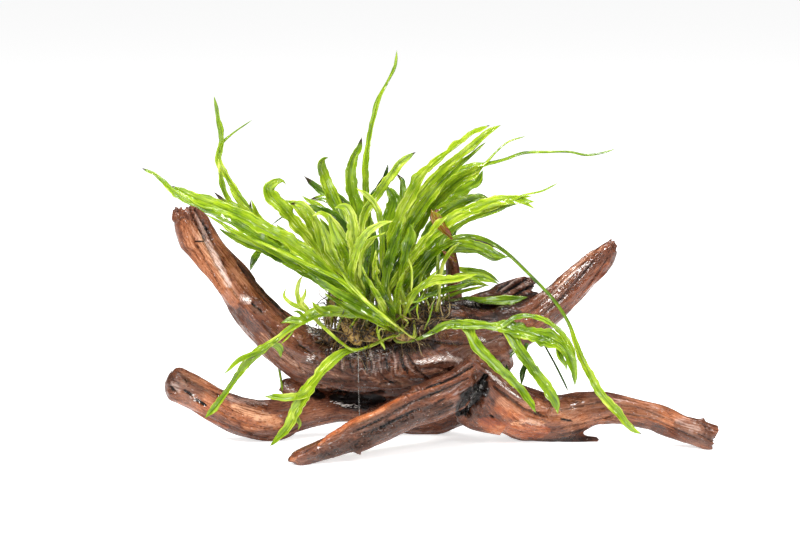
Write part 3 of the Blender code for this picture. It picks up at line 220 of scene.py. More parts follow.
EXTRA_FRONDS = {name: row for name, *row in rows_of("""
dark_edge_left left -20 0.2 | -33,84,-6,2 -39,102,-8,3.5 -42,111,-9,4 -47,117,-9,4 -54,120,-9,3.2
  -62,123,-9,1;
narrow_behind_left left 15 0.45 | -40,84,8,2 -54,97,8,3.5 -64,103,8,3.5 -72,109,8,2.6 -76,113,8,1;
front_upturned left 10 0.9 | -30,78,-22,2.4 -33,88,-26,3.4 -32,98,-28,3.4 -28,105,-29,3 -21,109,-30,1;
inner_dark right 15 0.1 | -23,84,-14,2.4 -22.5,97,-15,3.6 -21.5,108,-16,1.2;
low_behind_left back -10 0.35 | -38,80,20,2 -44,92,34,3.4 -49,97,46,3.8 -53,97,56,1;
sweep_bright right 10 0.6 | -16,62.5,-27,1.4 -25,68.5,-30,2 -34,76.5,-31,2.6 -43,84,-31,2.6 -53,89.5,-30,2.4
  -64,94.5,-29,2.2 -74,99.5,-28,2 -83,103.5,-27,1.5 -89,106,-27,0.8;
sweep_dark right -15 0.38 | -19,66,-23,2 -28,73,-25,3.5 -36,78.5,-26,4 -44,83,-26,4.5 -53,87.5,-26,4.5
  -62,93,-26,4 -69,97.5,-25,2.5 -74,101,-25,1;
sweep_low right 20 0.6 | -21,65,-20,2 -30,72.5,-22,3 -39,76.5,-23,3.5 -49,80.5,-23,4 -60,86.5,-23,3.5
  -68,91,-22,2.5 -74,94,-22,1;
dark_between left -10 0.2 | -30,78,-21,2 -32,86.5,-24,3.5 -31,96,-26,3.5 -28.5,102.5,-27,1.5;
centre_green right 15 0.4 | -21.5,79,-14,2.5 -20.5,89,-17,4 -18.5,99,-19,4.5 -15.5,107,-20,4
  -13,114,-21,1.5;
centre_green_back right -20 0.5 | -19,80,-8,2 -16,93,-11,3.5 -12,102,-13,4 -8.5,109,-14,3 -7,114,-15,1;
olive_slant right -15 0.72 | -20,78,-12,2 -15,87,-15,3 -8.5,96,-17,3.75 -1.5,105,-19,4 4.5,112,-20,3.5
  9.5,116.5,-21,1.5;
green_slant right 10 0.45 | -15,75,-8,2 -10.5,83,-10,3 -4.5,91,-12,4 2.5,98.5,-14,4 9,102,-15,2.5
  14.5,104.5,-16,1;
olive_level right -10 0.68 | -11.5,74,-14,2 -4,81,-16,3 4,84.5,-17,4.5 11,85,-18,4 19,86.5,-18,2.5
  25,88,-18,1;
green_level back 15 0.4 | -12,72,-8,2 -3,76.5,-9,2.5 6,79,-9,3 14,81,-9,2.5 22,84,-9,1;
left_centre left 15 0.62 | -36,82,-19,2 -40,92,-22,3.5 -43,100.5,-24,3.75 -47,109,-25,3.5 -50,118,-26,1.25;
base_bright right 5 0.78 | -22,67,-24,2 -24,72.5,-28,4 -27,78.5,-31,4.5 -30.5,85.5,-33,4 -33.5,93,-34,1.5;
base_dark right -10 0.42 | -17,65,-21,2 -19,71,-24,4 -22.5,76.5,-26,4.25 -25.5,83,-27,3 -27,89,-28,1;
base_green right 20 0.55 | -14,67,-16,2 -16,75,-19,3.5 -14.5,82.5,-21,3 -11.5,90,-22,1;
base_slant right -20 0.8 | -13,64,-20,1.5 -10,72,-22,2 -6,79,-23,2.5 0,85,-24,2 5,90,-24,0.8;
back_fill_left back 20 0.35 | -25,82.5,6,2 -29,94,8,4 -33,105,10,4.5 -35,114,11,3.5 -34,121,12,1.25;
back_fill_mid back -15 0.3 | -15,82.5,8,2 -16,94,11,4.5 -13,105,13,5 -9,114,14,4 -4,122.5,15,1.5;
back_fill_right back 10 0.5 | -10,80,10,2 -4,90,13,3.5 4,100,15,4 12,109,16,3.5 20,115,17,1.5;
upper_fill back -10 0.62 | -19,85,-2,2 -12,105,-5,3.5 -5,118,-8,4.5 3,129,-10,4.5 12,139,-12,3.5
  21,147,-13,2 29,154,-14,1;
yellow_fill back 15 0.75 | -13,85,2,2 -2,102,0,3 9,112,-2,3.5 20,118.5,-4,3.5 32,123,-5,3 44,126,-6,2
  52,127,-6,1;
right_arch_fill back -20 0.4 | -8,82,4,1.5 2,94,5,2.5 12,99,6,2.5 22,100,6,2.25 31,98,6,1.5 36,96,6,0.8;
left_fill left -20 0.45 | -39,80,2,2 -51,91,3,4 -64,99,4,4.5 -78,106,4,3.5 -89,111,4,2.5 -96,114,4,1;
left_top_fill back 10 0.55 | -33,85,4,2 -41,102,4,3.5 -48,114,4,4 -56,122,4,3.5 -63,127,4,1.5;
upper_third back 5 0.68 | -9,97.5,-2,2 -0.5,117.5,-6,4.5 9,129.5,-8,6.5 17.5,136,-9,7 24.5,139.5,-9,5
  28,142,-9,1.5;
upper_fourth back 0 0.5 | -5,99,2,2 3,113.5,0,4 12,121,-1,4.5 21,125,-2,4 29.5,126.5,-2,1.5;
yellow_lower right 10 0.5 | 6,102.5,-14,2 15,112,-17,2.2 26,117.5,-19,2 38,121.5,-20,1.5 44.5,123,-20,0.7;
left_second left 10 0.75 | -38,80,-6,2 -47,94,-9,4 -56,107,-11,5 -62,116.5,-12,5 -66.5,122,-12,4
  -71,125,-12,1.2;
left_thin left -10 0.6 | -39,87.5,-3,1.5 -45,100,-4,2.5 -50,110,-5,2.5 -54.5,116.5,-5,1;
centre_gap right -5 0.35 | -25,80,-6,2 -26,92.5,-8,3.2 -26.5,102.5,-9,3.2 -27.5,111,-10,2.5
  -28.5,117,-10,0.8;
droop_second back 15 0.42 | 1,94,2,2 10,102.5,0,3.5 19,103.5,0,4 28,100.5,0,4 35.5,97,0,3 40.5,96.5,0,0.9;
low_second right 10 0.6 | 2,79,-4,2 12,85.5,-6,2.5 22,87,-7,3.2 30,85.5,-7,2.7 35.5,83,-7,1;
low_third right -10 0.45 | 3,74,-2,1.5 12,77.5,-3,2 20,80,-3,2 29,82,-3,0.9;
under_left left 10 0.6 | -41.5,80,-10,2 -59,89,-12,3.5 -73,96.5,-13,3.5 -85,103,-13,3 -96,109,-12,2.3
  -104,114,-11,1.5 -111,118,-11,0.6;
under_left_low left -10 0.42 | -41.5,78,-4,2 -58,88,-5,3.7 -72,95,-6,4 -83,100.5,-6,3.5 -91,103.5,-6,3
  -98.5,107,-6,2.2 -105,111,-6,0.75;
tip_up_left left 0 0.6 | -41,80,0,1.5 -55,92,0,2 -69,102.5,0,1.7 -79,111,-1,2.2 -85,117,-1,2.2
  -87,121.5,-2,1.8 -88.5,125.5,-2,0.7;
shoot_left left 0 0.7 | -42,81,-2,1.5 -59,94,-2,2 -74,105,-2,1.8 -83,112.5,-2,2.2 -91,120.5,-3,2.3
  -96,126,-4,2 -99.5,131.5,-4,0.8;
sweep_base_dark right -10 0.34 | -13,59,-22,1.5 -21,65.5,-24,3.5 -29.5,70.5,-25,4.7 -38,74.5,-26,4.7
  -46,79,-26,4 -54,84,-25,2.7 -60,89,-25,0.9;
sweep_base_mid right 10 0.5 | -15,58,-21,1.5 -23,62.5,-23,3 -31.5,67,-24,4.2 -40,71,-24,3.7 -47,75,-24,2.3
  -52,78.5,-24,0.8;
sweep_base_left left 5 0.45 | -31,69,-18,2 -38,73,-20,3.5 -45,78,-21,3.5 -51,83,-21,2 -55,86.5,-21,0.8;
sweep_thin right 0 0.88 | -7,56.5,-22,1.3 -14.5,61.5,-25,1.4 -21.5,67,-27,1.5 -27.5,71.5,-29,1.7
  -33.5,77,-30,2.1 -39,83,-30,2 -43.5,89,-30,0.75;
""")}
ALL_FRONDS = {**FRONDS, **EXTRA_FRONDS}

# Loose stems, hanging leaves and petioles among the fronds: tone and route

STRAYS = rows_of("""
left_stem 0.5 | -74.5,41,4,1.3 -73.5,35,6,1.3 -72.5,27.5,8,1;
hanging_twist 0.05 | 49.5,53.5,-4,2 48.5,49,-5,1.7 49,44,-6,2 47.5,38,-7,2.5 46.5,32,-8,1;
hanging_twist_2 0.1 | 45.5,51.5,-3,2 41.5,47.5,-4,1.7 38.5,44,-5,1.5 40,40,-5,1.5 42.5,38,-5,0.8;
dark_line 0.1 | 58.5,52,-16,0.9 64,42,-17,1 67.5,35,-18,1 70.5,28.5,-18,0.7;
fine_hair 0.1 | -72,117,-6,0.7 -75,115,-6,0.8 -78.5,112,-6,0.5;
yellow_petiole 0.95 | -13,101,-24,1 -11,97,-25,1.2 -8.5,92,-25,1.2 -8,85,-24,1.2 -8.5,79,-22,1;
yellow_petiole_2 0.9 | -14,75,-20,0.8 -13.5,67,-21,1 -10,64,-21,0.8 -12,61,-20,0.7;
yellow_petiole_3 0.85 | -4.5,76,-18,0.8 -5.5,70,-19,1 -4.5,65,-19,0.8;
yellow_petiole_4 0.8 | -25,64,-21,0.9 -25.5,60,-23,1.1 -24,55,-23.5,1.2 -22,51.5,-23.5,1.7
  -21.5,50,-23.5,0.8;
fiddlehead 0.8 | -22.5,54,-22,1 -24.5,57,-23.4,1 -24,60.5,-23.6,1 -21,60,-23.6,0.8;
stem_down 0.6 | 7.5,72.5,-5,1 7.75,82,-7,1.1 7.5,91,-7,1.1 9,96,-7,0.7;
stem_across 0.7 | -16.5,73,-22,0.8 -10,73.5,-23,0.9 -4,74.5,-23,0.9 1,77,-22,0.7;
stem_across_2 0.55 | -16,65,-21,0.8 -11.5,68,-22,0.9 -6,72.5,-22,0.9 -2,79,-22,0.7;
stem_across_3 0.5 | -2,60,-18,0.8 1,67,-18,0.9 3,75,-18,0.9 6,81,-18,0.7;
withered_piece 0.5 | 12,105.5,-28,1.5 8.5,109,-30,4 5,113,-31,5.5 3,117,-31,4 1.5,120.5,-30,1;
withered_piece_2 0.4 | 14,94,-8,1.5 11,96,-9,3.5 8.5,98,-9,3 7,100,-9,1;
dark_twig 0 | -14.5,96,-20,1.2 -17,92,-21,1.4 -19.5,87,-20,1.2 -21,82,-18,0.9;
""")

# The fronds fan out in depth: the depth that a route point has from the middle of the crown
# grows with the way along the frond, by up to this share. Draped fronds lie along the wood
# and keep their depth.

CROWN_DEPTH = -3
FAN = 1.1
DRAPED = {
    "right_trailing", "front_left_compound", "front_left_broad", "front_antler",
    "front_right_lobed", "on_wood", "pale_stalk", "back_left", "back_middle", "back_right",
    "low_behind_left",
}

# How the fronds are spread: the straight start of a stalk, its lift off the rhizome and its
# lean, the length over which a frond becomes free to move, and the room between two fronds.
# A rolled blade reaches this share of its half width to the front and to the back.

STALK_LENGTH = 0.004
STALK_LIFT = 0.0003
STALK_LEAN_PER_MM = math.radians(5)
STALK_MOST_LEAN = math.radians(60)
LOOSE_LENGTH = 0.014
LEAF_CLEARANCE = 0.001
LONGEST_PUSH = 0.0015
SETTLING_STEPS = 200
SETTLING_PACE = 0.6
ROLLED_SHARE = 0.5
LEAF_SAMPLES = 30

# A wide blade leans back from the eye, so it is wider than it looks by up to this share

BLADE_LEAN = 0.15
WIDE_BLADE = 3
BLADE_FACING = np.array(Vector((0, -0.8, 0.6)).normalized())
WOOD_LUMP_MARGIN = 1.12
CURVE_STEPS = 24
RHIZOME_RINGS = 9
RHIZOME_FRONT = (60, -13)

# Blades in the scene, in metres: spacing of their rings, folds, waves, edges and midribs.
# A wave has a height, as a share of the blade's half width, and a length.

BLADE_STEP = 0.0011
ACROSS = (-1, -0.85, -0.6, -0.34, -0.12, 0, 0.12, 0.34, 0.6, 0.85, 1)
SMOOTHING_ROUNDS = 6
FILLED_WIDTH = 0.002
FILLED_START = 0.003
FILLED_END = 0.012
FILLED_TIP_SHARE = 0.3
BLADE_THICKNESS = 0.00022
NARROW_WIDTH = 0.0014
BROAD_WIDTH = 0.0032
NORMAL_PULL = 0.25
TWIST = math.radians(20)
TWIST_LENGTH = 0.07
TIP_TAPER = 0.004
THINNEST_TIP = 0.004
THICKEST_SHARE = 0.8
FOLD = 0.55
FOLD_LENGTH = 0.06
FOLD_CURVE = 1.4
EDGE_WAVES = ((0.2, 0.011), (0.13, 0.0035))
RUFFLES = ((0.38, 0.014), (0.19, 0.006))
RIB_HALF_WIDTH = 0.0004
RIB_GROOVE = 0.00015
RIB_KEEL = 0.0003
STALK_FADE = 0.02
TONE_WANDER = 0.12
TONE_LENGTH = 0.05
LOBE_LEAD = 4
LOBE_NECK = 0.6
LOBE_TIP_SHARE = 0.6
STRAY_ROLL = 0.3
DARK_TIPS = {
    "left_brown_tip": 14, "dark_inner": 10, "dark_tipped": 12, "light_left": 6,
    "centre_upright": 8, "back_short": 8, "right_brown": 40, "left_arch": 3, "long_left": 4,
    "right_upper": 3, "right_trailing": 3, "centre_hooked": 4, "right_dark": 8,
}

# The wood's skin: the cell of its grid and the cells along a block, how near the skin the middle
# of a block is that is worked out (a share of the block, and a margin), how far a limb reaches,
# the round of the forks, the room round the wood, and how many points are worked out at a time.
# ROUND_LENGTH is a share of the radius at a limb's tip.

CELL = 0.0007
BLOCK_CELLS = 6
BLOCK_REACH = 0.87
BLOCK_MARGIN = 0.0015
FIELD_MARGIN = 0.006
FILLET = 0.0016
WOOD_ROOM = 0.004
CHUNK = 20000
ROUND_LENGTH = 0.8
BORDER_ROUNDS = 12

# Relief of the wood: a grain is its size to both sides and along the limb, in metres

TORN_GRAIN = 0.0018
PATCH_GRAIN = np.array([0.01, 0.01, 0.02])
SWELL_GRAIN = np.array([0.006, 0.006, 0.03])
FURROW_GRAIN = np.array([0.0042, 0.0042, 0.045])
FIBRE_GRAIN = np.array([0.0019, 0.0019, 0.02])
THREAD_GRAIN = np.array([0.0013, 0.0013, 0.008])
SWELL_HEIGHT = 0.0007
FURROW_HEIGHT = 0.0012
FIBRE_HEIGHT = 0.0006
THREAD_HEIGHT = 0.0002
GRAIN_BLEND = 0.0015
# Depths below the neighbours, near and wide, at which the painted shade of creases and hollows is whole,
# and the most that each depth gives
NARROW_HOLLOW = 0.0003
WIDE_HOLLOW = 0.0022
DEEPEST_HOLLOW = 0.6

# Strokes on the wood: the grain of grit, in metres, and of curtains, in millimetres on the board,
# the share of a stroke that tapers, its width at the end, its raggedness, and how squarely the
# skin has to face the eye to take it

GRIT_GRAIN = 0.0011
CURTAIN_GRAIN = np.array([0.9, 7.0])
STROKE_TAPER = 0.3
STROKE_END = 0.35
STROKE_RAGGED = 0.4
SEEN_FROM = -0.05
SEEN_WHOLLY = 0.3
# Layers of paint on the wood: dark is partly dark cracks and partly painted shade in cavities and recesses;
# light lifts or lowers the tone in fibre streaks, mostly as painted highlight; pale is pale fibres and
# painted wet sheen; wet gives painted glints and a glossier finish; orange, rust and dull are tints of the
# wood, and dry makes it rougher.
LAYERS = ("light", "orange", "rust", "dull", "dark", "dry", "wet", "pale")

# Rhizomes, their bristles and their roots, in metres: stations are the rings of a tube, and the
# knobs stand on their rhizome on the same terms as a limb

STEM_STATIONS = 90
STEM_ROUND = 40
STEM_END_LENGTH = 0.8
KNUCKLE_GRAIN = np.array([0.6, 0.6, 0.8])
KNUCKLE_HEIGHT = 0.16
SCALE_GRAIN = np.array([2.4, 2.4, 3.4])
SCALE_HEIGHT = 0.22
TUBE_REFERENCE = (0.31, 0.17, 0.93)
CREEP_STEPS = 14
CREEP_WANDER = 0.0004
CREEP_TURN = 0.04
HAIR_ROOTS = {"left": 70, "right": 90, "back": 50}
HAIR_STATIONS = 26
BACKWARD_SHARE = 0.6
BRISTLES = 420
BRISTLE_LENGTH = 0.0022
BRISTLE_TAPER = np.array([1, 0.9, 0.6, 0.15])
TANGLES = {"left": 170, "right": 260, "back": 90}
TANGLE_REACH = 0.013
TANGLE_STATIONS = 18
KNOBS = {name: knobs for name, *knobs in rows_of("""
left | -43,67,-11,1.5 -40.5,63,-16,2.8 -37,57.5,-20,3.4 -34.5,53.5,-20,2.4 | -33,60,-15,2.4
  -29,57.5,-18.5,2.8 -24,55,-19,2.2 | -50,64,-1,2.5 -47,71,-3,3.6 -43.5,77,-5,3.6 -40,81,-6,2;
right | -20,60,-13,2.4 -14,57,-17,2.4 -8,56,-18,2;
back;
""")}
STALK_PLACES = {
    "front_right_lobed": ("right", -19), "front_antler": ("right", -20),
    "front_left_compound": ("right", -18), "front_left_broad": ("right", -17),
}
TIP_LIGHT = {"right_trailing": 0.5}

# Colours, as linear red, green and blue

WOOD_STOPS = [(0.27, (0.008, 0.003, 0.002)), (0.4, (0.045, 0.013, 0.006)), (0.52, (0.125, 0.038, 0.018)),
              (0.64, (0.25, 0.085, 0.04)), (0.8, (0.5, 0.25, 0.15))]
ORANGE_STOPS = [(0.25, (0.05, 0.011, 0.003)), (0.38, (0.22, 0.052, 0.014)), (0.52, (0.43, 0.135, 0.048)),
                (0.76, (0.74, 0.39, 0.22))]
DULL_STOPS = [(0.27, (0.01, 0.004, 0.003)), (0.42, (0.045, 0.018, 0.011)), (0.58, (0.12, 0.054, 0.034)),
              (0.82, (0.31, 0.18, 0.125))]
# Near black of dark cracks and of painted shade in hollows, the painted glint, and a pale colour of fibres
# and of painted wet sheen
CRACK_AND_SHADE_BLACK = (0.004, 0.002, 0.0015)
PAINTED_GLINT = (1.0, 0.93, 0.88)
PALE_FIBRE_AND_SHEEN = (0.7, 0.5, 0.42)
RUST_STOPS = [(0.25, (0.05, 0.007, 0.002)), (0.42, (0.24, 0.042, 0.01)), (0.58, (0.46, 0.12, 0.032)),
              (0.8, (0.78, 0.38, 0.19))]
RHIZOME_STOPS = [(0.4, (0.008, 0.005, 0.003)), (0.6, (0.045, 0.02, 0.008)), (0.78, (0.17, 0.085, 0.02)),
                 (0.95, (0.45, 0.28, 0.08))]
ROOT_STOPS = [(0.25, (0.01, 0.006, 0.004)), (0.6, (0.05, 0.024, 0.01)), (0.8, (0.26, 0.15, 0.05)),
              (1.0, (0.62, 0.46, 0.2))]
FROND_STOPS = [(0.0, (0.012, 0.035, 0.001)), (0.2, (0.045, 0.1, 0.003)), (0.5, (0.165, 0.275, 0.006)),
               (0.8, (0.34, 0.46, 0.015)), (1.0, (0.62, 0.7, 0.12))]
# Painted glint and painted shade for the fronds' streaks
FROND_GLINT = (0.85, 0.92, 0.5)
FROND_SHADE = (0.03, 0.07, 0.003)
WITHERED = (0.17, 0.035, 0.01)
RIB_GREEN = (0.06, 0.12, 0.006)
STALK_BROWN = (0.16, 0.11, 0.02)
SPECK_BROWN = (0.1, 0.07, 0.01)
TIP_BLACK = (0.03, 0.018, 0.006)
FROND_GLOW = 0.1
NYLON_STOPS = [(0.3, (0.5, 0.5, 0.46)), (0.7, (0.75, 0.76, 0.72))]
FLOOR_WHITE = (0.86, 0.86, 0.86)

# Light: name, place, width and height, and power

LAMPS = [
    ("key", (-0.45, -0.7, 1.0), (0.3, 0.3), 15.5),
    ("fill", (0.8, -0.7, 0.7), (0.5, 0.4), 4.8),
    ("top", (0.1, 0.25, 1.2), (0.7, 0.4), 9),
    ("bulb_left", (-0.55, -0.9, 0.7), (0.07, 0.07), 2),
    ("bulb_right", (0.4, -0.85, 0.95), (0.07, 0.07), 2),
]
LAMP_AIM = Vector((0, 0, 0.07))
ROOM_LIGHT = 0.37
ROOM_REFLECTED = 0.14
FLOOR_HALF = 8
FLOOR_GLOW = 0.66
FLOOR_UNSEEN = 0.3

# Splinters, nubs and small side ridges of the wood, on the same terms as the limbs

# recess_back and cavity_floor fill the backs of the recesses under the trunk and at the hub with wood that
# the dark strokes and the hollows paint black as shade
SPLINTERS = dict(rows_of("""
recess_back | -58,33,15,3 -44,32.5,14,5 -20,32,14,6 2,33,13,6.5 14,36,12,7;
horn_nub | -123.6,122.4,4,0.7 -123.9,118,4,1.7 -123.2,111,3,2.6 -120.4,103,2,3;
horn_prong | -119.5,121,1,0.6 -118,117,0,1.5 -114.5,109,0,2;
stub_prong | 49.5,86.5,28,0.6 45,84.5,27,1.7 36,80,25,2.4;
twig_prong | 2.5,117.5,21,0.6 4,113,21,1.6 7,106,21,2;
front_root_chip | -35.5,-2.2,-38,0.6 -34,0.4,-37,1.6 -31,4,-34,2.6;
front_root_nub | -70.5,-5.5,-44,0.8 -68,-4.5,-44,1.9 -64,-4,-44,2.6;
left_root_chip | 3,8.6,16,0.6 -2,10,17,1.6 -10,13.5,17,2.4;
left_root_chip_2 | -7,8.8,16,0.5 -10,11,17,1.4 -16,14.5,17,2.2;
right_root_top | 138.5,16.2,-13,0.7 135.5,13.6,-13,1.7 128,12,-11,2.6;
right_root_fork | 144,3,-13,0.7 139,4,-13,2 132,7,-12,2.6;
spur_prong | -75,30,8,0.6 -72,30,9,1.7 -66,27,10,2.6;
spur_prong_2 | -64.5,37.5,8,0.5 -65.5,33,8.5,1.6 -64,27,9,2.4;
stub_splinter | 52.5,83.5,31,0.4 47,82,30,1.3 38,79,28,2;
stub_splinter_2 | 55.5,79,30,0.4 49,78,29,1.6 38,76,27,2.2;
stub_splinter_3 | 55,75.5,28,0.4 49,75.5,28,1.5 38,74,26,2.2;
stub_splinter_4 | 52.5,77,24,0.4 47,77,24.5,1.2 38,76,24,2;
stub_bark | 50.5,73.5,27,0.5 44,72.5,25,1.8 32,70.5,22,2.6;
ridge_fold | 40,51,-3,2.5 30,47,-7.5,4 21,41,-13,4.4 12,35,-20,4 2,30.6,-25,3 -9,26,-29,2.4;
brow_fold | 18,49,-6,3 24,45,-9,4.6 32,39,-11.5,5 40,32,-12,4.6 49,25.5,-10.5,4 60,21.5,-8,3;
joint_web | 22,50,0,8 35,46,0,7 40,41,1,4.6;
trunk_heel | -81,57,1,7.5 -75.2,50.8,1,7.7 -69.2,45.8,1,7.7 -64.5,41.5,1,7.5 -57,38,2,7;
trunk_top | 33,65.5,7,6 43,66.5,8,6 52,69.5,9,5.6 62,76,10,5;
cavity_lip | 26,38,-10.5,1 22,33,-13,1.8 17,27,-14,2 13,22,-12,1.6;
cavity_floor | 27,37,-7,3 23.5,30.5,-8.5,4.5 19.5,23,-9,5.2 16,17,-8,4;
under_web | 14,19,-6,4.5 24,15,-5,5.6 36,14,-3,7;
"""))
UPPER_SPLINTERS = ("horn_nub", "horn_prong", "stub_prong", "twig_prong", "trunk_heel", "trunk_top")

# Strokes on the wood: height or depth (below 0), half width and route on the
# board, in millimetres. First creases and ridges, then gritty stretches, then curtains of
# close folds.

CREASES = rows_of("""
-1.8 0.9 | -120,122 -116,115.5 -110.5,105;
-1.8 0.9 | -116.5,120.5 -112.5,114 -107,103;
-1.5 0.8 | -118.5,118 -114,110 -108,99;
1.8 1.6 | -126,121.5 -126,114;
-0.7 0.5 | -117.5,104 -113.5,104.5 -109,103.5;
-0.9 0.7 | -112.5,106 -107,94 -100,83 -94,75;
-0.7 0.6 | -119,109 -111,94 -103,80;
0.9 0.9 | -109.5,105 -104,94 -99,85;
-1.3 1.1 | -88,73.5 -85.5,71.5;
-1.2 1 | -84.5,71 -82.5,69;
0.9 1.4 | -92.5,75.5 -88,75 -83,74;
-0.8 0.8 | -95,93 -83,77 -70,64;
-0.9 0.8 | -83,64 -73,51 -62,39;
-0.7 0.7 | -73.5,64 -64,52.5 -49,42 -34,35;
-1.1 0.8 | -122,30 -117.5,27;
-1.3 1 | -116.5,25.5 -111,22;
0.9 2 | -127,37 -121,33;
-1.6 1.8 | -129,31.5 -126,28;
0.5 1.2 | -114,36 -101.5,27.5 -91,23;
-0.7 0.7 | -119,20 -103,13 -88,8;
1.2 1.5 | -61,31 -49,32.5 -38,33.5 -21.5,32 -4,31;
-1.2 1.2 | -49,29 -38,30.5 -21.5,29;
-0.5 0.6 | -33,50 -31,45 -29,38;
-0.5 0.6 | -16.5,52 -16,45 -14,38;
0.8 0.8 | -28.5,52.5 -25,41 -24,35;
0.8 0.8 | -20,53 -18.5,42 -17,35;
-1.2 1 | -12,52 -9.5,46 -5,39 1,35;
0.6 2 | -7,44 4,45 15,45;
-0.7 0.7 | -7,40 4,41 17,39;
-1 0.9 | -4,56 11,53 26,53 42,59;
-0.9 0.8 | 21,60 36,62 51,69 64,80;
-0.9 0.8 | 53,64 66,75 79,90 87,99;
-0.8 0.7 | 60,62 73,73 84,87 90,96;
0.7 0.8 | 56,68 69,80 81,94;
-1.6 0.9 | 23,42 16,37.5 8,34 -4,30 -14,27;
0.8 1.3 | 20.5,40 12.5,35 2,31.5 -8.5,28 -18.5,23.5 -25.5,19 -37,15 -48,8.5 -55,2;
-0.7 0.7 | 21,36.5 11,31.5 2,28 -8,24 -17,19.5;
-0.5 0.6 | -8,23.5 -18,18.5 -28,13.5 -39,8.5;
-0.8 0.9 | -4,21 -14,16 -24,11;
1.6 1.3 | -38,2 -34,-1;
-3.4 4 | 29,37 26,29 20,17;
-1.2 3 | 22,30 16.5,18.5;
-1.7 0.8 | 38,78.5 45,83 52,87.5;
-1.5 0.8 | 41,76 48,80 55,83.5;
-1.3 0.7 | 34,79 41,84.5 47.5,89;
1 0.5 | 26.5,35 24,25;
0.9 0.5 | 22,30 18.5,20;
0.9 0.5 | 30.5,33 27.5,23;
1.3 1.6 | 21,45 28.5,40 38,32 47.5,25 60,21;
-1.2 1.2 | 33,32 40,26 48,20 60,16;
-1.2 0.9 | 31,17 32.5,16;
-0.9 0.8 | 46,9 62,10 78.5,13 96,18;
-0.8 0.7 | 66,20 86,24 106,21 126,13;
-0.8 0.7 | 91,19 111,16 136,5;
-1 0.6 | 136,14 142,10;
-1 0.6 | 135,8 143,4;
0.9 1.2 | 42,13 50,15 58.5,13.5;
""")

GRIT = rows_of("""
0.45 7 | 12,23 -4,18 -20,11 -39,3 -59,-3;
0.5 6 | -101,19 -89,14 -76,12;
0.3 5 | -123,114 -114,94 -103,79;
0.5 9 | -64,55 -44,50 -14,47 6,52;
0.35 5 | -39,37 -14,36 6,39;
0.5 5 | 131,14 143,7;
0.8 6 | 42,83 54,83;
0.7 2.4 | 54,77 69,91 86,104;
0.5 5 | 9,71 26,72 44,72;
0.5 5 | 28,37 24,27 18,16;
""")

CURTAINS = rows_of("""
1.3 7 | -39,42 -24,43 -9,42;
0.8 6 | -59,47 -39,44;
""")
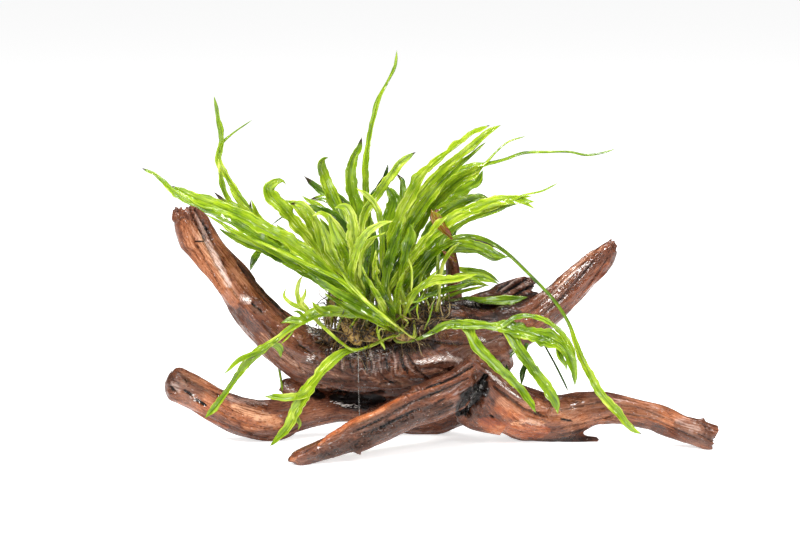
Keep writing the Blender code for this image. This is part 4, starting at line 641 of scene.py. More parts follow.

# Tints of the wood: layer, strength, half width and route on the board

# The dark strokes are partly the wood's dark cracks and stains and partly painted shade in cavities and
# recesses; the light, pale and wet strokes are painted highlights, sheen and glints, the pale ones also
# pale fibres.
PAINT = rows_of("""
orange 0.65 9 | -122,114 -111,94 -96,72;
dry 1 6 | -123,114 -114,94 -103,79;
light 0.8 3 | -115,109 -108,96 -101,84;
dark 0.42 1.8 | -120,121 -116,115 -111,106;
dark 0.42 1.6 | -116,120 -112,113.5 -107.5,105;
dark 0.9 0.5 | -117.5,104 -113.5,104.5 -109,103.5;
dark 0.6 1.6 | -107,114 -95,94 -83,80 -70,66;
orange 0.4 4 | -107,107 -94,87 -83,75;
dark 0.85 0.9 | -88,73.5 -86,72;
dark 0.85 1 | -85,71 -83,69;
dark 0.7 0.8 | -87.5,69.5 -85.5,67.5;
dull 0.7 3 | -88,72 -83,68;
dull 0.25 10 | -80,60 -68,47.5 -56,37;
light 0.5 3 | -83,58 -72,47 -62,39;
orange 0.9 5 | -100,19 -89,15 -76,13;
light 0.85 4 | -98,22 -88,19 -79,16;
orange 0.78 8.5 | -115,26 -104,21 -92,17 -74,13;
rust 0.35 6 | -124,29 -116,24 -108,19;
rust 0.7 2 | -125,24 -114,18 -100,11;
dark 0.6 1.2 | -122,30 -117.5,27;
dark 0.75 1.5 | -116.5,25.5 -111,22;
dull 0.5 9 | -131,36 -121,31 -114,27;
dark 0.45 5 | -130,38 -126,30;
dark 0.4 2.4 | -126,39 -118,33 -107,27;
dull 0.45 4 | -128,38 -122,33 -118,30;
orange 0.5 3 | -123,39 -111,33 -98,26;
dark 0.55 9 | -55,53 -39,50 -18,49;
dark 0.75 6 | -49,56 -28,52 -9,52 6,53;
orange 0.5 3 | -28,35 -18,36 -8,34;
dull 0.5 8 | 1,39 21,49 41,56;
dark 0.7 5 | 8,65 26,65 46,69;
dark 0.75 5 | 9,72 24,73 40,73 54,78;
dark 0.4 6 | 6,55 21,57 36,60;
dark 0.6 6 | 26,77 41,82 54,83;
dark 0.45 1.8 | 56,78 69,90 84,102;
dull 0.55 10 | -62,45 -39,39 -14,37 6,42;
pale 0.55 0.7 | -42,49 -43,44 -42.5,39;
pale 0.65 0.8 | -29,50 -27,43 -26,37;
pale 0.5 0.7 | -23.5,50 -24.5,44 -23,38;
pale 0.55 0.8 | -18,50 -16,44 -16.5,38;
pale 0.55 0.7 | -12,49 -10,42 -6,38;
dark 0.6 1.2 | -38.5,50 -39,43 -37.5,38;
dark 0.6 1.4 | -32.5,50 -32,44 -30.5,38;
dark 0.65 1.3 | -20.5,51 -21,45 -19.5,39;
dark 0.7 1.6 | -13.5,50 -13,44 -10,38;
dark 0.5 1.2 | -47,50 -48.5,44 -47.5,39;
dark 0.55 0.9 | -36,39 -33,35 -28,33;
dark 0.6 0.8 | -25,41 -22,36 -16,33;
dark 0.5 0.9 | -10,36 -4,33 2,34;
dark 0.5 0.8 | -49,42 -46,37 -41,34;
dark 0.5 0.8 | -56,42 -53,37 -49,33;
light 1 1.2 | -32,40 -29,36 -24,34;
light 1 1.1 | -17,36 -12,33 -6,32;
light 0.9 1.1 | -53,43 -49,39 -44,36;
light 0.6 1.2 | -3,38 5,39 12,41;
dark 0.45 2.2 | -51,31 -36,29 -18,29 -4,32;
rust 0.6 2.4 | -20,38 -13,39.5 -7,37.5;
dark 0.4 4 | -60,37 -44,33 -22,32 1,33;
dark 1 6 | -48,26 -36,25 -22,25.5;
dark 0.9 4 | -44,23 -35,22 -27,23.5;
dark 0.8 4 | -64,30 -52,27;
orange 0.3 1.3 | 20.5,39.5 2,31 -18.5,23 -37,14.5 -55,2;
dark 0.32 3 | 19,37 6,32 -8,27 -21,21;
rust 0.4 0.9 | 20.5,39.5 12.5,34.5 2,31 -8.5,27.5 -18.5,23;
rust 1 1.4 | -14,25 -18.5,23 -25.5,18.5 -37,14.5 -48,8 -55,2;
dark 0.7 1.2 | 22.5,43.5 16,38 8,34 -1,31;
dark 0.6 1 | 21,36.5 11,31.5 2,28 -8,24 -17,19.5;
dark 0.45 1.3 | -8,23 -18,18 -28,13 -39,8 -49,3;
dark 0.56 6 | 12,23 -4,18 -20,11 -39,2 -54,-3;
dull 0.6 3 | 19,34.5 2,27 -18.5,18.5 -37,9.5 -51,0.5;
dark 0.4 1.6 | 19,35.5 2,28.5 -18.5,20 -37,11 -51,1.5;
dull 0.62 8 | 14,23 -4,18 -20,11 -39,2 -59,-4;
dark 0.7 1.2 | 9,26 3,23 -4,20;
dark 0.7 1.1 | -10,19 -17,15 -24,11;
dark 0.6 1.1 | -30,8 -39,3 -46,0;
dark 0.45 1.8 | 12,21 -2,16 -16,10 -31,2 -44,-3 -59,-6;
orange 0.8 2 | -69,-5 -66,-4;
dark 1 6 | 28,37 25,28 19,18;
dark 1 5 | 21,31 16,19;
dark 1 6 | 26,29 20,23.5 15,18;
dark 0.45 8 | 26,39 24,28 21,16;
rust 0.95 6 | 26,15 36,11 48,9 60,10;
rust 0.7 4 | 34,21 43,17 56,15;
dark 0.7 2.4 | 57,4 69,5 86,6;
dark 0.6 1.4 | 64,7 74,9 80,11;
light -0.5 3 | 26,16 36,13;
orange 0.7 3 | 36,26 44,20;
orange 0.7 10 | 36,23 56,17 86,19 111,20 136,10;
light 0.8 2.2 | 42,13 50,14.5 59,13;
dark 1 1 | 31,17 33,16;
dark 0.8 1.2 | 66,15.5 72,14.5;
dull 0.5 7 | 66,20 86,22 101,21 116,17;
orange 0.7 2.2 | 118,24 131,15;
dull 0.65 9 | 124,13 142,6;
dark 0.35 3 | 36,5 56,5 76,7;
light 0.5 1.6 | 64,83 76,94 88,102;
dull 0.35 8 | 58,66 74,79 89,97;
rust 0.5 5 | 66,69 79,81 90,93;
dark 0.25 6 | 60,70 75,83 89,98;
dark 0.6 0.8 | 60,76 70,85 82,97;
pale 0.8 0.7 | 58,74 67,83 76,92;
pale 0.7 0.6 | 67,87 78,97 88,103.5;
orange 0.5 2 | 40,80 51,83;
dark 0.9 1 | 38,78.5 45,83 52,87.5;
dark 0.9 1 | 41,76 48,80 55,83.5;
dark 0.8 0.9 | 34,79 41,84.5 47.5,89;
pale 0.6 0.6 | 36,79.5 43,84.5 50,89;
pale 0.5 0.6 | 40,78 47,82 54,86;
rust 1 4 | 4,118 5,109;
wet 1 4 | -60,61 -54,58.5 -48,55;
wet 0.8 2 | -61,45 -56,47;
wet 0.42 1.6 | -38,42 -28,39 -18,42;
wet 0.5 4 | -44,49 -31,47 -18,49;
wet 1 2.2 | -7,43.5 2,45 9,46;
wet 0.8 1.6 | 9,49 15,44;
wet 0.95 1.6 | -49,24.5 -41,22 -34,22;
wet 0.42 1.4 | 29,36 25,27 19,17;
wet 0.9 1.5 | 29,40 37,33 46,26;
wet 0.7 2.2 | -119,28 -114,24;
wet 0.6 1.4 | -106,94 -101,85 -99,81.5;
wet 1 2 | -93,76 -89,74.5;
wet 0.5 3 | -61,49 -58,44;
wet 0.45 1.8 | -92,24 -85,23 -79,23;
wet 0.75 2 | 64,89 76,99 87,104;
wet 0.6 1.6 | 73,87 81,94;
wet 0.7 1.8 | 53,75 60,81 64,87;
wet 0.8 1.8 | 25,56 29,54.5;
wet 0.7 2 | 12,72 19,74 26,72;
wet 0.7 2.4 | -73,33 -66,29;
wet 0.5 1.2 | 47,14 55,12.5;
wet 0.4 2 | 56,23 64,20;
pale 0.95 2.1 | -111,105 -107,97 -102.5,89 -99.5,82.5;
pale 1 2.6 | -101.5,85.5 -99,82;
pale 0.9 2.6 | -93.5,77 -89,73.5;
pale 0.5 1.6 | -116,119 -112,110 -108,102;
pale 0.45 1 | -98,69 -91,58 -83,48;
pale 0.5 1.6 | 62,85 74,96 86,104;
pale 0.6 2.4 | -7,44 6,46 17,45;
pale 0.45 2.2 | -128,34 -124,29;
pale 0.4 3 | 124,15 136,10;
pale 0.35 2 | -101,26 -90,24 -80,24;
pale 0.45 1.4 | 46,15 53,15 58,12;
""")


# Places, curves and waves


def place(across, up, y, *_):
    """World position, in metres, of a point that looks at (across, up) on the board at depth y."""
    flat = Vector((across * MM, 0, 0)) + BOARD_UP * (up * MM - BOARD_FOOT)
    spot = Vector((0, BOARD_CENTRE.y, BOARD_CENTRE.z)) + flat
    ray = spot - EYE
    return EYE + ray * ((y * MM - EYE.y) / ray.y) + CENTRING


def nearness(y):
    """How much larger a thing at depth y is than it looks on the board."""
    return (y * MM - EYE.y) / -EYE.y


def on_board(points):
    """Where world points look to be on the board, as (across, up) in millimetres."""
    rays = points - np.array(EYE + CENTRING)
    reach = EYE_DISTANCE / (rays @ np.array(SIGHT))
    spots = rays * reach[:, None] + np.array(EYE - BOARD_CENTRE)
    across = spots[:, 0] + BOARD_CENTRE.x
    up = spots @ np.array(BOARD_UP) + BOARD_FOOT
    return np.column_stack([across, up]) / MM


def blade_width(across, up, y, width):
    """True width of a blade that looks this wide: it leans back a little from the eye."""
    return width * MM * nearness(y) * (1 + BLADE_LEAN * min(1, width / WIDE_BLADE))


def distances(spine):
    """How far each point is along a line of points."""
    return np.r_[0, np.cumsum(np.linalg.norm(np.diff(spine, axis=0), axis=1))]


def interpolated(x, places, rows):
    """Each column of rows, given at these places, read off at x."""
    return np.column_stack([np.interp(x, places, row) for row in rows.T])


def smooth_curve(points, sizes, count):
    """Evenly spaced positions and sizes along a centripetal Catmull-Rom curve through points."""
    knots = np.array([[*p, s] for p, s in zip(points, sizes)])
    knots = np.vstack([2 * knots[0] - knots[1], knots, 2 * knots[-1] - knots[-2]])
    pieces = []
    for a, b, c, d in zip(knots, knots[1:], knots[2:], knots[3:]):
        ta = 0.0
        tb = ta + np.linalg.norm(b[:3] - a[:3]) ** 0.5
        tc = tb + np.linalg.norm(c[:3] - b[:3]) ** 0.5
        td = tc + np.linalg.norm(d[:3] - c[:3]) ** 0.5
        t = np.linspace(tb, tc, CURVE_STEPS, endpoint=False)[:, None]

        def between(start, end, a, b):
            return (end - t) / (end - start) * a + (t - start) / (end - start) * b

        ab, bc, cd = between(ta, tb, a, b), between(tb, tc, b, c), between(tc, td, c, d)
        pieces.append(between(tb, tc, between(ta, tc, ab, bc), between(tb, td, bc, cd)))
    dense = np.vstack([*pieces, knots[-2]])
    along = distances(dense[:, :3])
    even = interpolated(np.linspace(0, along[-1], count), along, dense)
    return even[:, :3], even[:, 3]


def unit(vectors):
    return vectors / np.linalg.norm(vectors, axis=-1, keepdims=True)


def directions(spine):
    return unit(np.gradient(spine, axis=0))


def lattice(cells, seed):
    """A repeatable value from -1 to 1 for each whole-number cell."""
    mixed = (cells * np.array([73856093, 19349663, 83492791])).sum(axis=-1) + seed * 374761393
    mixed = (mixed ^ (mixed >> 13)) * 1274126177
    mixed = (mixed ^ (mixed >> 16)) & 0xFFFF
    return mixed / 32767.5 - 1


def waves(places, seed=0):
    """Smooth noise from -1 to 1 with a wavelength of about 2, in up to three dimensions."""
    places = np.pad(places, ((0, 0), (0, 3 - places.shape[1])))
    base = np.floor(places).astype(np.int64)
    part = places - base
    part = part * part * (3 - 2 * part)
    total = np.zeros(len(places))
    for corner in np.ndindex(2, 2, 2):
        share = np.prod(np.where(corner, part, 1 - part), axis=1)
        total += share * lattice(base + corner, seed)
    return total


def wave_along(spots, wavelength, seed):
    return waves(spots[:, None] / wavelength * 2, seed)


def smooth_step(low, high, values):
    t = np.clip((values - low) / (high - low), 0, 1)
    return t * t * (3 - 2 * t)


def add_object(name, data):
    thing = bpy.data.objects.new(name, data)
    bpy.context.scene.collection.objects.link(thing)
    return thing


def mesh_piece(name, points, faces, material, attributes, normals=None):
    """A smooth-shaded piece that rides on the root body."""
    mesh = bpy.data.meshes.new(name)
    mesh.from_pydata(points.tolist(), [], faces)
    for label, values in attributes.items():
        kind, socket = ("FLOAT_VECTOR", "vector") if np.ndim(values) == 2 else ("FLOAT", "value")
        layer = mesh.attributes.new(label, kind, "POINT")
        layer.data.foreach_set(socket, np.asarray(values, np.float32).ravel())
    mesh.materials.append(material)
    mesh.shade_smooth()
    if normals is not None:
        mesh.normals_split_custom_set_from_vertices(normals.tolist())
    piece = add_object(name, mesh)
    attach(piece, "root")
    return piece


def tube_faces(rings, around):
    """Faces of a closed tube whose points go round ring by ring."""
    grid = np.arange(rings * around).reshape(rings, around)
    here, there = grid[:-1], grid[1:]
    quads = np.stack([here, np.roll(here, -1, 1), np.roll(there, -1, 1), there], -1).reshape(-1, 4)
    return quads.tolist() + [grid[0][::-1].tolist(), grid[-1].tolist()]


def join_parts(parts):
    """One list of points, faces and values from the parts of a piece."""
    points, attributes = zip(*[(part[0], part[2]) for part in parts])
    starts = np.cumsum([0] + [len(p) for p in points]).tolist()
    faces = [[v + start for v in face] for start, part in zip(starts, parts) for face in part[1]]
    return np.vstack(points), faces, {k: np.concatenate([a[k] for a in attributes]) for k in attributes[0]}


def lumps_at(points):
    """How much thicker the wood is at each point, as a share of the limb's radius."""
    spots = (points - np.array(CENTRING)) / LUMP_SIZE
    return np.array([noise.noise(spot) for spot in spots.tolist()]) * LUMP_SHARE


def swelling(lumps, turns, along):
    """The limb's radius with its lumps and its slow furrows, as a share of the plain radius."""
    return 1 + lumps + FURROW_SHARE * np.cos(FURROWS * turns + FURROW_TWIST * along)


class Limb:
    """A limb of wood: a lumpy tube along a route, with the radius given at each route point."""

    STEP = 0.001

    def __init__(self, route, torn=0.0, hollow=0.0, far_torn=0.0, rounded=True):
        points = [place(*p) for p in route]
        radii = [r * MM * nearness(y) for _, _, y, r in route]
        rough_length = sum((b - a).length for a, b in zip(points, points[1:]))
        self.spine, self.radius = smooth_curve(points, radii, int(rough_length / self.STEP) + 2)
        self.ahead = directions(self.spine)
        self.along = distances(self.spine)
        self.torn, self.hollow, self.far_torn, self.rounded = torn, hollow, far_torn, rounded
        side = Vector(self.ahead[0]).orthogonal().normalized()
        sides = []
        for forward in map(Vector, self.ahead):
            side = (side - forward * side.dot(forward)).normalized()
            sides.append(side.copy())
        self.side = np.array(sides)
        self.up = np.cross(self.ahead, self.side)

    def coordinates(self, points):
        """Offsets to the side and upwards from the limb's middle, and distance along it."""
        k = np.empty(len(points), int)
        for start in range(0, len(points), CHUNK):
            near = points[start:start + CHUNK]
            gaps = (self.spine ** 2).sum(1) - 2 * near @ self.spine.T
            k[start:start + CHUNK] = gaps.argmin(axis=1)
        offset = points - self.spine[k]
        further = (offset * self.ahead[k]).sum(1)
        return np.column_stack([(offset * self.side[k]).sum(1), (offset * self.up[k]).sum(1),
                                self.along[k] + further])

    def reaches(self, points, margin):
        low = (self.spine - self.radius[:, None]).min(0) - margin
        high = (self.spine + self.radius[:, None]).max(0) + margin
        return ((points > low) & (points < high)).all(axis=1)

    def gap(self, points, lumps, fine):
        """Signed distance from points to the limb's skin, and the points' coordinates on it."""
        spots = self.coordinates(points)
        u, v, s = spots.T
        distance = np.hypot(u, v)
        radius = np.interp(s, self.along, self.radius)
        turn = np.arctan2(v, u)
        skin = radius * swelling(lumps, turn, s)
        if self.rounded:
            inward = np.clip(s / (ROUND_LENGTH * self.radius[0]), 0.02, 1)
            skin *= np.sqrt(1 - (1 - inward) ** 2)
        start, end = -s, s - self.along[-1]
        start += self.hollow * np.clip(1 - (distance / radius) ** 2, 0, 1)
        if fine:
            skin += relief(spots)
            shreds = waves(np.column_stack([u, v]) / TORN_GRAIN, 5)
            start -= self.torn * shreds
            end -= self.far_torn * shreds
        return np.maximum(distance - skin, np.maximum(start, end)), spots


def ridges(spots, seed, sharpness, level):
    """Sharp-edged grooves between flat ridges, in smooth noise."""
    return np.minimum(np.abs(waves(spots, seed)) * sharpness, 1) - level


def relief(spots):
    """Height of the wood's furrows and fibres at limb coordinates."""
    furrow = ridges(spots / FURROW_GRAIN, 11, 3, 0.8) * (0.6 + 0.6 * waves(spots / PATCH_GRAIN, 5))
    fibre = ridges(spots / FIBRE_GRAIN, 23, 2.5, 0.7) * (0.7 + 0.6 * waves(spots / PATCH_GRAIN, 9))
    swell, thread = waves(spots / SWELL_GRAIN, 7), waves(spots / THREAD_GRAIN, 37)
    return FURROW_HEIGHT * furrow + SWELL_HEIGHT * swell + FIBRE_HEIGHT * fibre + THREAD_HEIGHT * thread


def wood_field(points, limbs, fine=True):
    """Signed distance to the wood, and each limb's own gap and coordinates where it is near."""
    lumps = lumps_at(points)
    gaps = np.full((len(limbs), len(points)), 1.0)
    spots = np.zeros((len(limbs), len(points), 3))
    for n, limb in enumerate(limbs):
        near = limb.reaches(points, FIELD_MARGIN)
        if near.any():
            gaps[n, near], spots[n, near] = limb.gap(points[near], lumps[near], fine)
    least = gaps.min(axis=0)
    total = least - FILLET * np.log(np.exp(-(gaps - least) / FILLET).sum(axis=0))
    return np.maximum(total, -points[:, 2]), gaps, spots


def grid_cells(counts):
    return np.stack(np.meshgrid(*[np.arange(c) for c in counts], indexing="ij"), -1).reshape(-1, 3)


def skin_of(limbs, low, high):
    """Points and quads of the wood's skin, worked out only in the blocks that it passes."""
    block = BLOCK_CELLS * CELL
    cube = [BLOCK_CELLS] * 3
    counts = np.ceil((high - low) / block).astype(int)
    blocks = grid_cells(counts)
    coarse, _, _ = wood_field(low + (blocks + 0.5) * block, limbs, fine=False)
    crossed = blocks[np.abs(coarse) < block * BLOCK_REACH + BLOCK_MARGIN]
    volume = np.repeat(np.sign(coarse), BLOCK_CELLS ** 3).reshape(*counts, *cube) * block
    cells = crossed[:, None] * BLOCK_CELLS + grid_cells(cube)[None]
    values, _, _ = wood_field(low + cells.reshape(-1, 3) * CELL, limbs)
    volume[tuple(crossed.T)] = values.reshape(-1, *cube)
    dense = volume.transpose(0, 3, 1, 4, 2, 5).reshape(counts * BLOCK_CELLS)
    grid = openvdb.FloatGrid(block)
    grid.copyFromArray(np.ascontiguousarray(dense, np.float32))
    points, quads = grid.convertToQuads(isovalue=0.0)
    return low + np.asarray(points, float) * CELL, np.asarray(quads, int)


def vertex_normals(points, quads):
    a, b, c, d = (points[quads[:, k]] for k in range(4))
    flat = np.cross(c - a, d - b)
    total = np.zeros_like(points)
    for k in range(4):
        np.add.at(total, quads[:, k], flat)
    return unit(total)


def hollowness(points, quads, normals, rounds):
    """How far each point lies below the mean of its neighbours, smoothed over some rounds."""
    edges = np.vstack([quads[:, [k, (k + 1) % 4]] for k in range(4)])
    degree = np.bincount(edges.ravel(), minlength=len(points))
    mean = points
    for _ in range(rounds):
        total = np.zeros_like(points)
        np.add.at(total, edges[:, 0], mean[edges[:, 1]])
        np.add.at(total, edges[:, 1], mean[edges[:, 0]])
        mean = total / degree[:, None]
    return ((mean - points) * normals).sum(axis=1)


# Fronds


class Leaf:
    """A frond or a lobe: a strip along a smooth curve, from its base to its tip."""

    def __init__(self, points, widths, roll, filled=False):
        self.points, self.widths, self.roll, self.filled = points, widths, roll, filled
        self.spine, self.width = smooth_curve(points, widths, LEAF_SAMPLES)
        self.start = self.spine.copy()

    def fine(self):
        """Closely spaced spine and width, moved as the samples were moved when settling."""
        count = max(8, int(distances(self.start)[-1] / BLADE_STEP))
        spine, width = smooth_curve(self.points, self.widths, count)
        moved = interpolated(np.linspace(0, LEAF_SAMPLES - 1, count), range(LEAF_SAMPLES),
                             self.spine - self.start)
        for _ in range(SMOOTHING_ROUNDS):
            moved[1:-1] = (moved[:-2] + 2 * moved[1:-1] + moved[2:]) / 4
        return spine + moved, width


def stalk_root(spine, x, depth):
    """The point of a rhizome's skin at x that faces a depth, and the way out of it."""
    centre = Vector(interpolated([x], spine[:, 0], spine)[0])
    lean = (depth - centre.y / MM) * STALK_LEAN_PER_MM
    lean = max(-STALK_MOST_LEAN, min(STALK_MOST_LEAN, lean))
    out = Vector((0, math.sin(lean), math.cos(lean)))
    return centre + out * (RHIZOME_RADIUS + STALK_LIFT + PETIOLE_HALF_THICKNESS + GAP), out


def ranked_place(spine, rank, count):
    """Where along its rhizome a frond stands: in the order of its rank, clear of the tie line."""
    start, end = spine[0, 0], spine[-1, 0]
    tied = start < LINE_PLACE < end
    x = start + (rank + 0.5) / count * (end - start - (2 * LINE_BERTH if tied else 0))
    if tied and x > LINE_PLACE - LINE_BERTH:
        x += 2 * LINE_BERTH
    return x


def fanned(name, route):
    """The route of a frond or a lobe with its depths fanned out."""
    if name in DRAPED:
        return route
    first = Vector(ALL_FRONDS[name][3][0][:2])
    last = Vector(ALL_FRONDS[name][3][-1][:2])
    fanned_route = []
    for across, up, y, width in route:
        share = min(1, (Vector((across, up)) - first).length / (last - first).length)
        fanned_route.append((across, up, CROWN_DEPTH + (y - CROWN_DEPTH) * (1 + FAN * share), width))
    return fanned_route


def lay_out_leaves(spines, rows):
    """Every frond's strip on its smooth curve, before they settle apart."""
    leaves = {}
    for rhizome, spine in spines.items():
        names = [n for n, row in rows.items() if row[0] == rhizome]
        names.sort(key=lambda n: rows[n][3][0][0])
        for rank, name in enumerate(names):
            _, roll, _, route, *_ = rows[name]
            route = fanned(name, route)
            stem = spine
            if name in STALK_PLACES:
                rhizome_name, across = STALK_PLACES[name]
                stem, x = spines[rhizome_name], place(across, *RHIZOME_FRONT).x
            elif name in FRONDS:
                x = ranked_place(spine, rank, len(names))
            else:
                x = max(spine[0, 0], min(spine[-1, 0], place(*route[0]).x))
            root, out = stalk_root(stem, x, route[0][2])
            leaves[name] = Leaf([root, root + out * STALK_LENGTH] + [place(*p) for p in route],
                                [PETIOLE_WIDTH] * 2 + [blade_width(*p) for p in route],
                                math.radians(roll), name not in DRAPED)
    return leaves


def across_gaps(flat, others):
    """Distances between the points of two lines as the eye sees them."""
    return np.linalg.norm(flat[:, None] - others[None], axis=2)


def greatest(count, places, values):
    """The greatest of the values at each of count places, or 0."""
    most = np.zeros(count)
    np.maximum.at(most, places, values)
    return most


def settle_apart(leaves, limbs, spines, moving):
    """Slides the moving fronds along the line of sight until they clear all others and the wood."""
    names = list(leaves)
    sight = np.array(SIGHT)
    spine = np.array([leaves[n].spine for n in names])
    half = np.array([leaves[n].width / 2 for n in names])
    reach = ROLLED_SHARE * half + PETIOLE_HALF_THICKNESS
    travelled = np.cumsum(np.linalg.norm(np.diff(spine, axis=1, prepend=spine[:, :1]), axis=2), axis=1)
    free = np.clip((travelled - STALK_LENGTH) / LOOSE_LENGTH, 0, 1)
    free *= np.array([n in moving for n in names])[:, None]
    depth = spine @ sight
    flat = spine - depth[..., None] * sight
    # The samples of two fronds that overlap as the eye sees them, and the depth they need between
    pairs = []
    for a, b in zip(*np.triu_indices(len(names), 1)):
        if names[a] in moving or names[b] in moving:
            seen = across_gaps(flat[a], flat[b])
            i, j = np.nonzero(seen < half[a][:, None] + half[b][None] + LEAF_CLEARANCE)
            if len(i):
                pairs.append((a, b, i, j, reach[a][i] + reach[b][j] + LEAF_CLEARANCE / 2))
    # The same for each frond and the wood or a rhizome
    wood = np.vstack([limb.spine for limb in limbs] + list(spines.values()))
    wood_radius = np.concatenate([limb.radius * WOOD_LUMP_MARGIN for limb in limbs]
                                 + [np.full(len(s), RHIZOME_RADIUS) for s in spines.values()])
    wood_depth = wood @ sight
    wood_flat = wood - wood_depth[:, None] * sight
    beside = []
    for a in range(len(names)):
        seen = across_gaps(flat[a], wood_flat)
        needed = wood_radius[None] + reach[a][:, None] + LEAF_CLEARANCE
        i, j = np.nonzero(seen < needed)
        beside.append((i, j, np.sqrt(needed[i, j] ** 2 - seen[i, j] ** 2)))
    for _ in range(SETTLING_STEPS):
        push = np.zeros_like(depth)
        for a, b, i, j, needed in pairs:
            gap = depth[a, i] - depth[b, j]
            order = np.sign(gap.sum()) or 1.0
            short = np.clip(needed - order * gap, 0, None) / 2
            push[a] += order * greatest(LEAF_SAMPLES, i, short)
            push[b] -= order * greatest(LEAF_SAMPLES, j, short)
        for a, (i, j, needed) in enumerate(beside):
            gap = depth[a, i] - wood_depth[j]
            short = np.clip(needed - np.abs(gap), 0, None)
            away = greatest(LEAF_SAMPLES, i, short * (gap >= 0))
            toward = greatest(LEAF_SAMPLES, i, short * (gap < 0))
            push[a] += np.where(toward > away, -toward, away)
        # A push spreads to the samples beside it, so that the frond stays smooth
        push = np.clip(push, -LONGEST_PUSH, LONGEST_PUSH)
        for _ in range(2):
            push[:, 1:-1] = (push[:, :-2] + 2 * push[:, 1:-1] + push[:, 2:]) / 4
        depth += free * push * SETTLING_PACE
    for n, name in enumerate(names):
        leaves[name].spine = flat[n] + depth[n][:, None] * sight


def facing_normals(ahead, roll):
    """The way that the blade's upper face looks at each point, turning gently along it."""
    normal = None
    normals = []
    for forward in ahead:
        wanted = BLADE_FACING - forward * (BLADE_FACING @ forward)
        strength = np.linalg.norm(wanted)
        if normal is None:
            normal = wanted / strength
        normal = normal - forward * (normal @ forward)
        normal /= np.linalg.norm(normal)
        normal = normal + wanted * NORMAL_PULL * strength
        normal /= np.linalg.norm(normal)
        normals.append(normal)
    normals = np.array(normals)
    turned = normals * np.cos(roll)[:, None] + np.cross(ahead, normals) * np.sin(roll)[:, None]
    return turned, np.cross(ahead, turned)


def blade(leaf, tone, seed, dark_tip=0.0, tip_light=0.0, lobe=False):
    """Points, faces and surface values of one strip of leaf with midrib, folds and waved edges."""
    spine, width = leaf.fine()
    ahead = directions(spine)
    s = distances(spine)
    to_tip = s[-1] - s
    if leaf.filled:
        width = np.maximum(width, FILLED_WIDTH * smooth_step(FILLED_START, FILLED_END, s)
                           * smooth_step(0, FILLED_TIP_SHARE * s[-1], to_tip))
    broad = smooth_step(NARROW_WIDTH, BROAD_WIDTH, width)
    facing, side = facing_normals(ahead, leaf.roll + TWIST * broad * wave_along(s, TWIST_LENGTH, seed))
    taper = np.sqrt(np.clip(to_tip / TIP_TAPER, THINNEST_TIP, 1))
    half = width / 2 * taper
    thick = BLADE_THICKNESS + (PETIOLE_HALF_THICKNESS - BLADE_THICKNESS) * (1 - broad)
    thick = np.minimum(thick, half * THICKEST_SHARE) * np.sqrt(taper)
    fold = FOLD * broad * (0.6 + 0.5 * wave_along(s, FOLD_LENGTH, seed + 1))

    def edge_wave(shapes, first):
        return broad * sum(high * wave_along(s, length, seed + first + 3 * n)
                           for n, (high, length) in enumerate(shapes))

    edges = {sign: (1 + edge_wave(EDGE_WAVES, 3 + sign), edge_wave(RUFFLES, 9 + sign))
             for sign in (-1, 1)}
    rings, values = [], []
    for face, places in ((1, ACROSS), (-1, ACROSS[-2:0:-1])):
        for x in places:
            trim, lift = edges[1 if x > 0 else -1]
            rib = np.exp(-(x * half / RIB_HALF_WIDTH) ** 2) * broad
            height = fold * abs(x) ** FOLD_CURVE * half + lift * half * x * x
            height = height + face * thick * math.sqrt(max(0.0, 1 - x * x))
            height = height - (RIB_GROOVE if face == 1 else RIB_KEEL) * rib
            rings.append(spine + side * (x * half * trim)[:, None] + facing * height[:, None])
            values.append(np.column_stack([np.full(len(s), x), rib, broad]))
    around = len(rings)
    points = np.stack(rings, axis=1).reshape(-1, 3)
    x, rib, broad = np.stack(values, axis=1).reshape(-1, 3).T
    along, left = np.repeat(s, around), np.repeat(to_tip, around)
    attributes = {
        "blade": np.column_stack([x * np.repeat(half, around), np.full(len(points), seed * 0.37), along]),
        "edge": np.abs(x) * broad,
        "rib": rib,
        "tone": np.clip(tone + tip_light * (along / s[-1]) ** 3
                        + TONE_WANDER * np.repeat(wave_along(s, TONE_LENGTH, seed + 20), around), 0, 1),
        "stalk": (1 - broad) * (not lobe) * np.exp(-along / STALK_FADE),
        "tip": (1 - smooth_step(0, max(dark_tip, 1e-6), left)) * (dark_tip > 0),
    }
    return points, tube_faces(len(s), around), attributes


def frond_piece(name, leaf, tone, lobes, material, seed):
    """One frond with its lobes. Each lobe leaves the blade on a smooth curve."""
    tip = DARK_TIPS.get(name, 0.0) * MM
    parts = [blade(leaf, tone, seed, tip, TIP_LIGHT.get(name, 0.0))]
    spine, _ = leaf.fine()
    for n, lobe in enumerate(lobes):
        lobe = fanned(name, lobe)
        points = [place(*p) for p in lobe]
        k = int(np.linalg.norm(spine - np.array(points[0]), axis=1).argmin())
        root = Vector(spine[k])
        shift = SIGHT * (root - points[0]).dot(SIGHT)
        widths = [blade_width(*p) for p in lobe]
        lead = Vector(spine[max(0, k - LOBE_LEAD)])
        side_leaf = Leaf([lead, root] + [p + shift for p in points[1:]],
                         [widths[0] * LOBE_NECK] + widths, leaf.roll)
        parts.append(blade(side_leaf, tone, seed + 31 * (n + 1), tip * LOBE_TIP_SHARE, lobe=True))
    points, faces, attributes = join_parts(parts)
    return mesh_piece("leaf_" + name, points, faces, material, attributes)


def build_strays(material):
    """Loose stems and hanging leaves that grow from no rhizome."""
    for n, (name, tone, route) in enumerate(STRAYS):
        leaf = Leaf([place(*p) for p in route], [blade_width(*p) for p in route], STRAY_ROLL)
        points, faces, attributes = blade(leaf, tone, 400 + n, lobe=True)
        attributes["withered"] = np.full(len(points), float(name.startswith("withered")))
        mesh_piece("stray_" + name, points, faces, material, attributes)


# Rhizomes and roots


def seat(limb, point, lift):
    """Moves a point straight out from the limb's middle to a height over its skin."""
    k = int(np.linalg.norm(limb.spine - np.array(point), axis=1).argmin())
    middle = Vector(limb.spine[k])
    return middle + (point - middle).normalized() * (limb.radius[k] + lift)


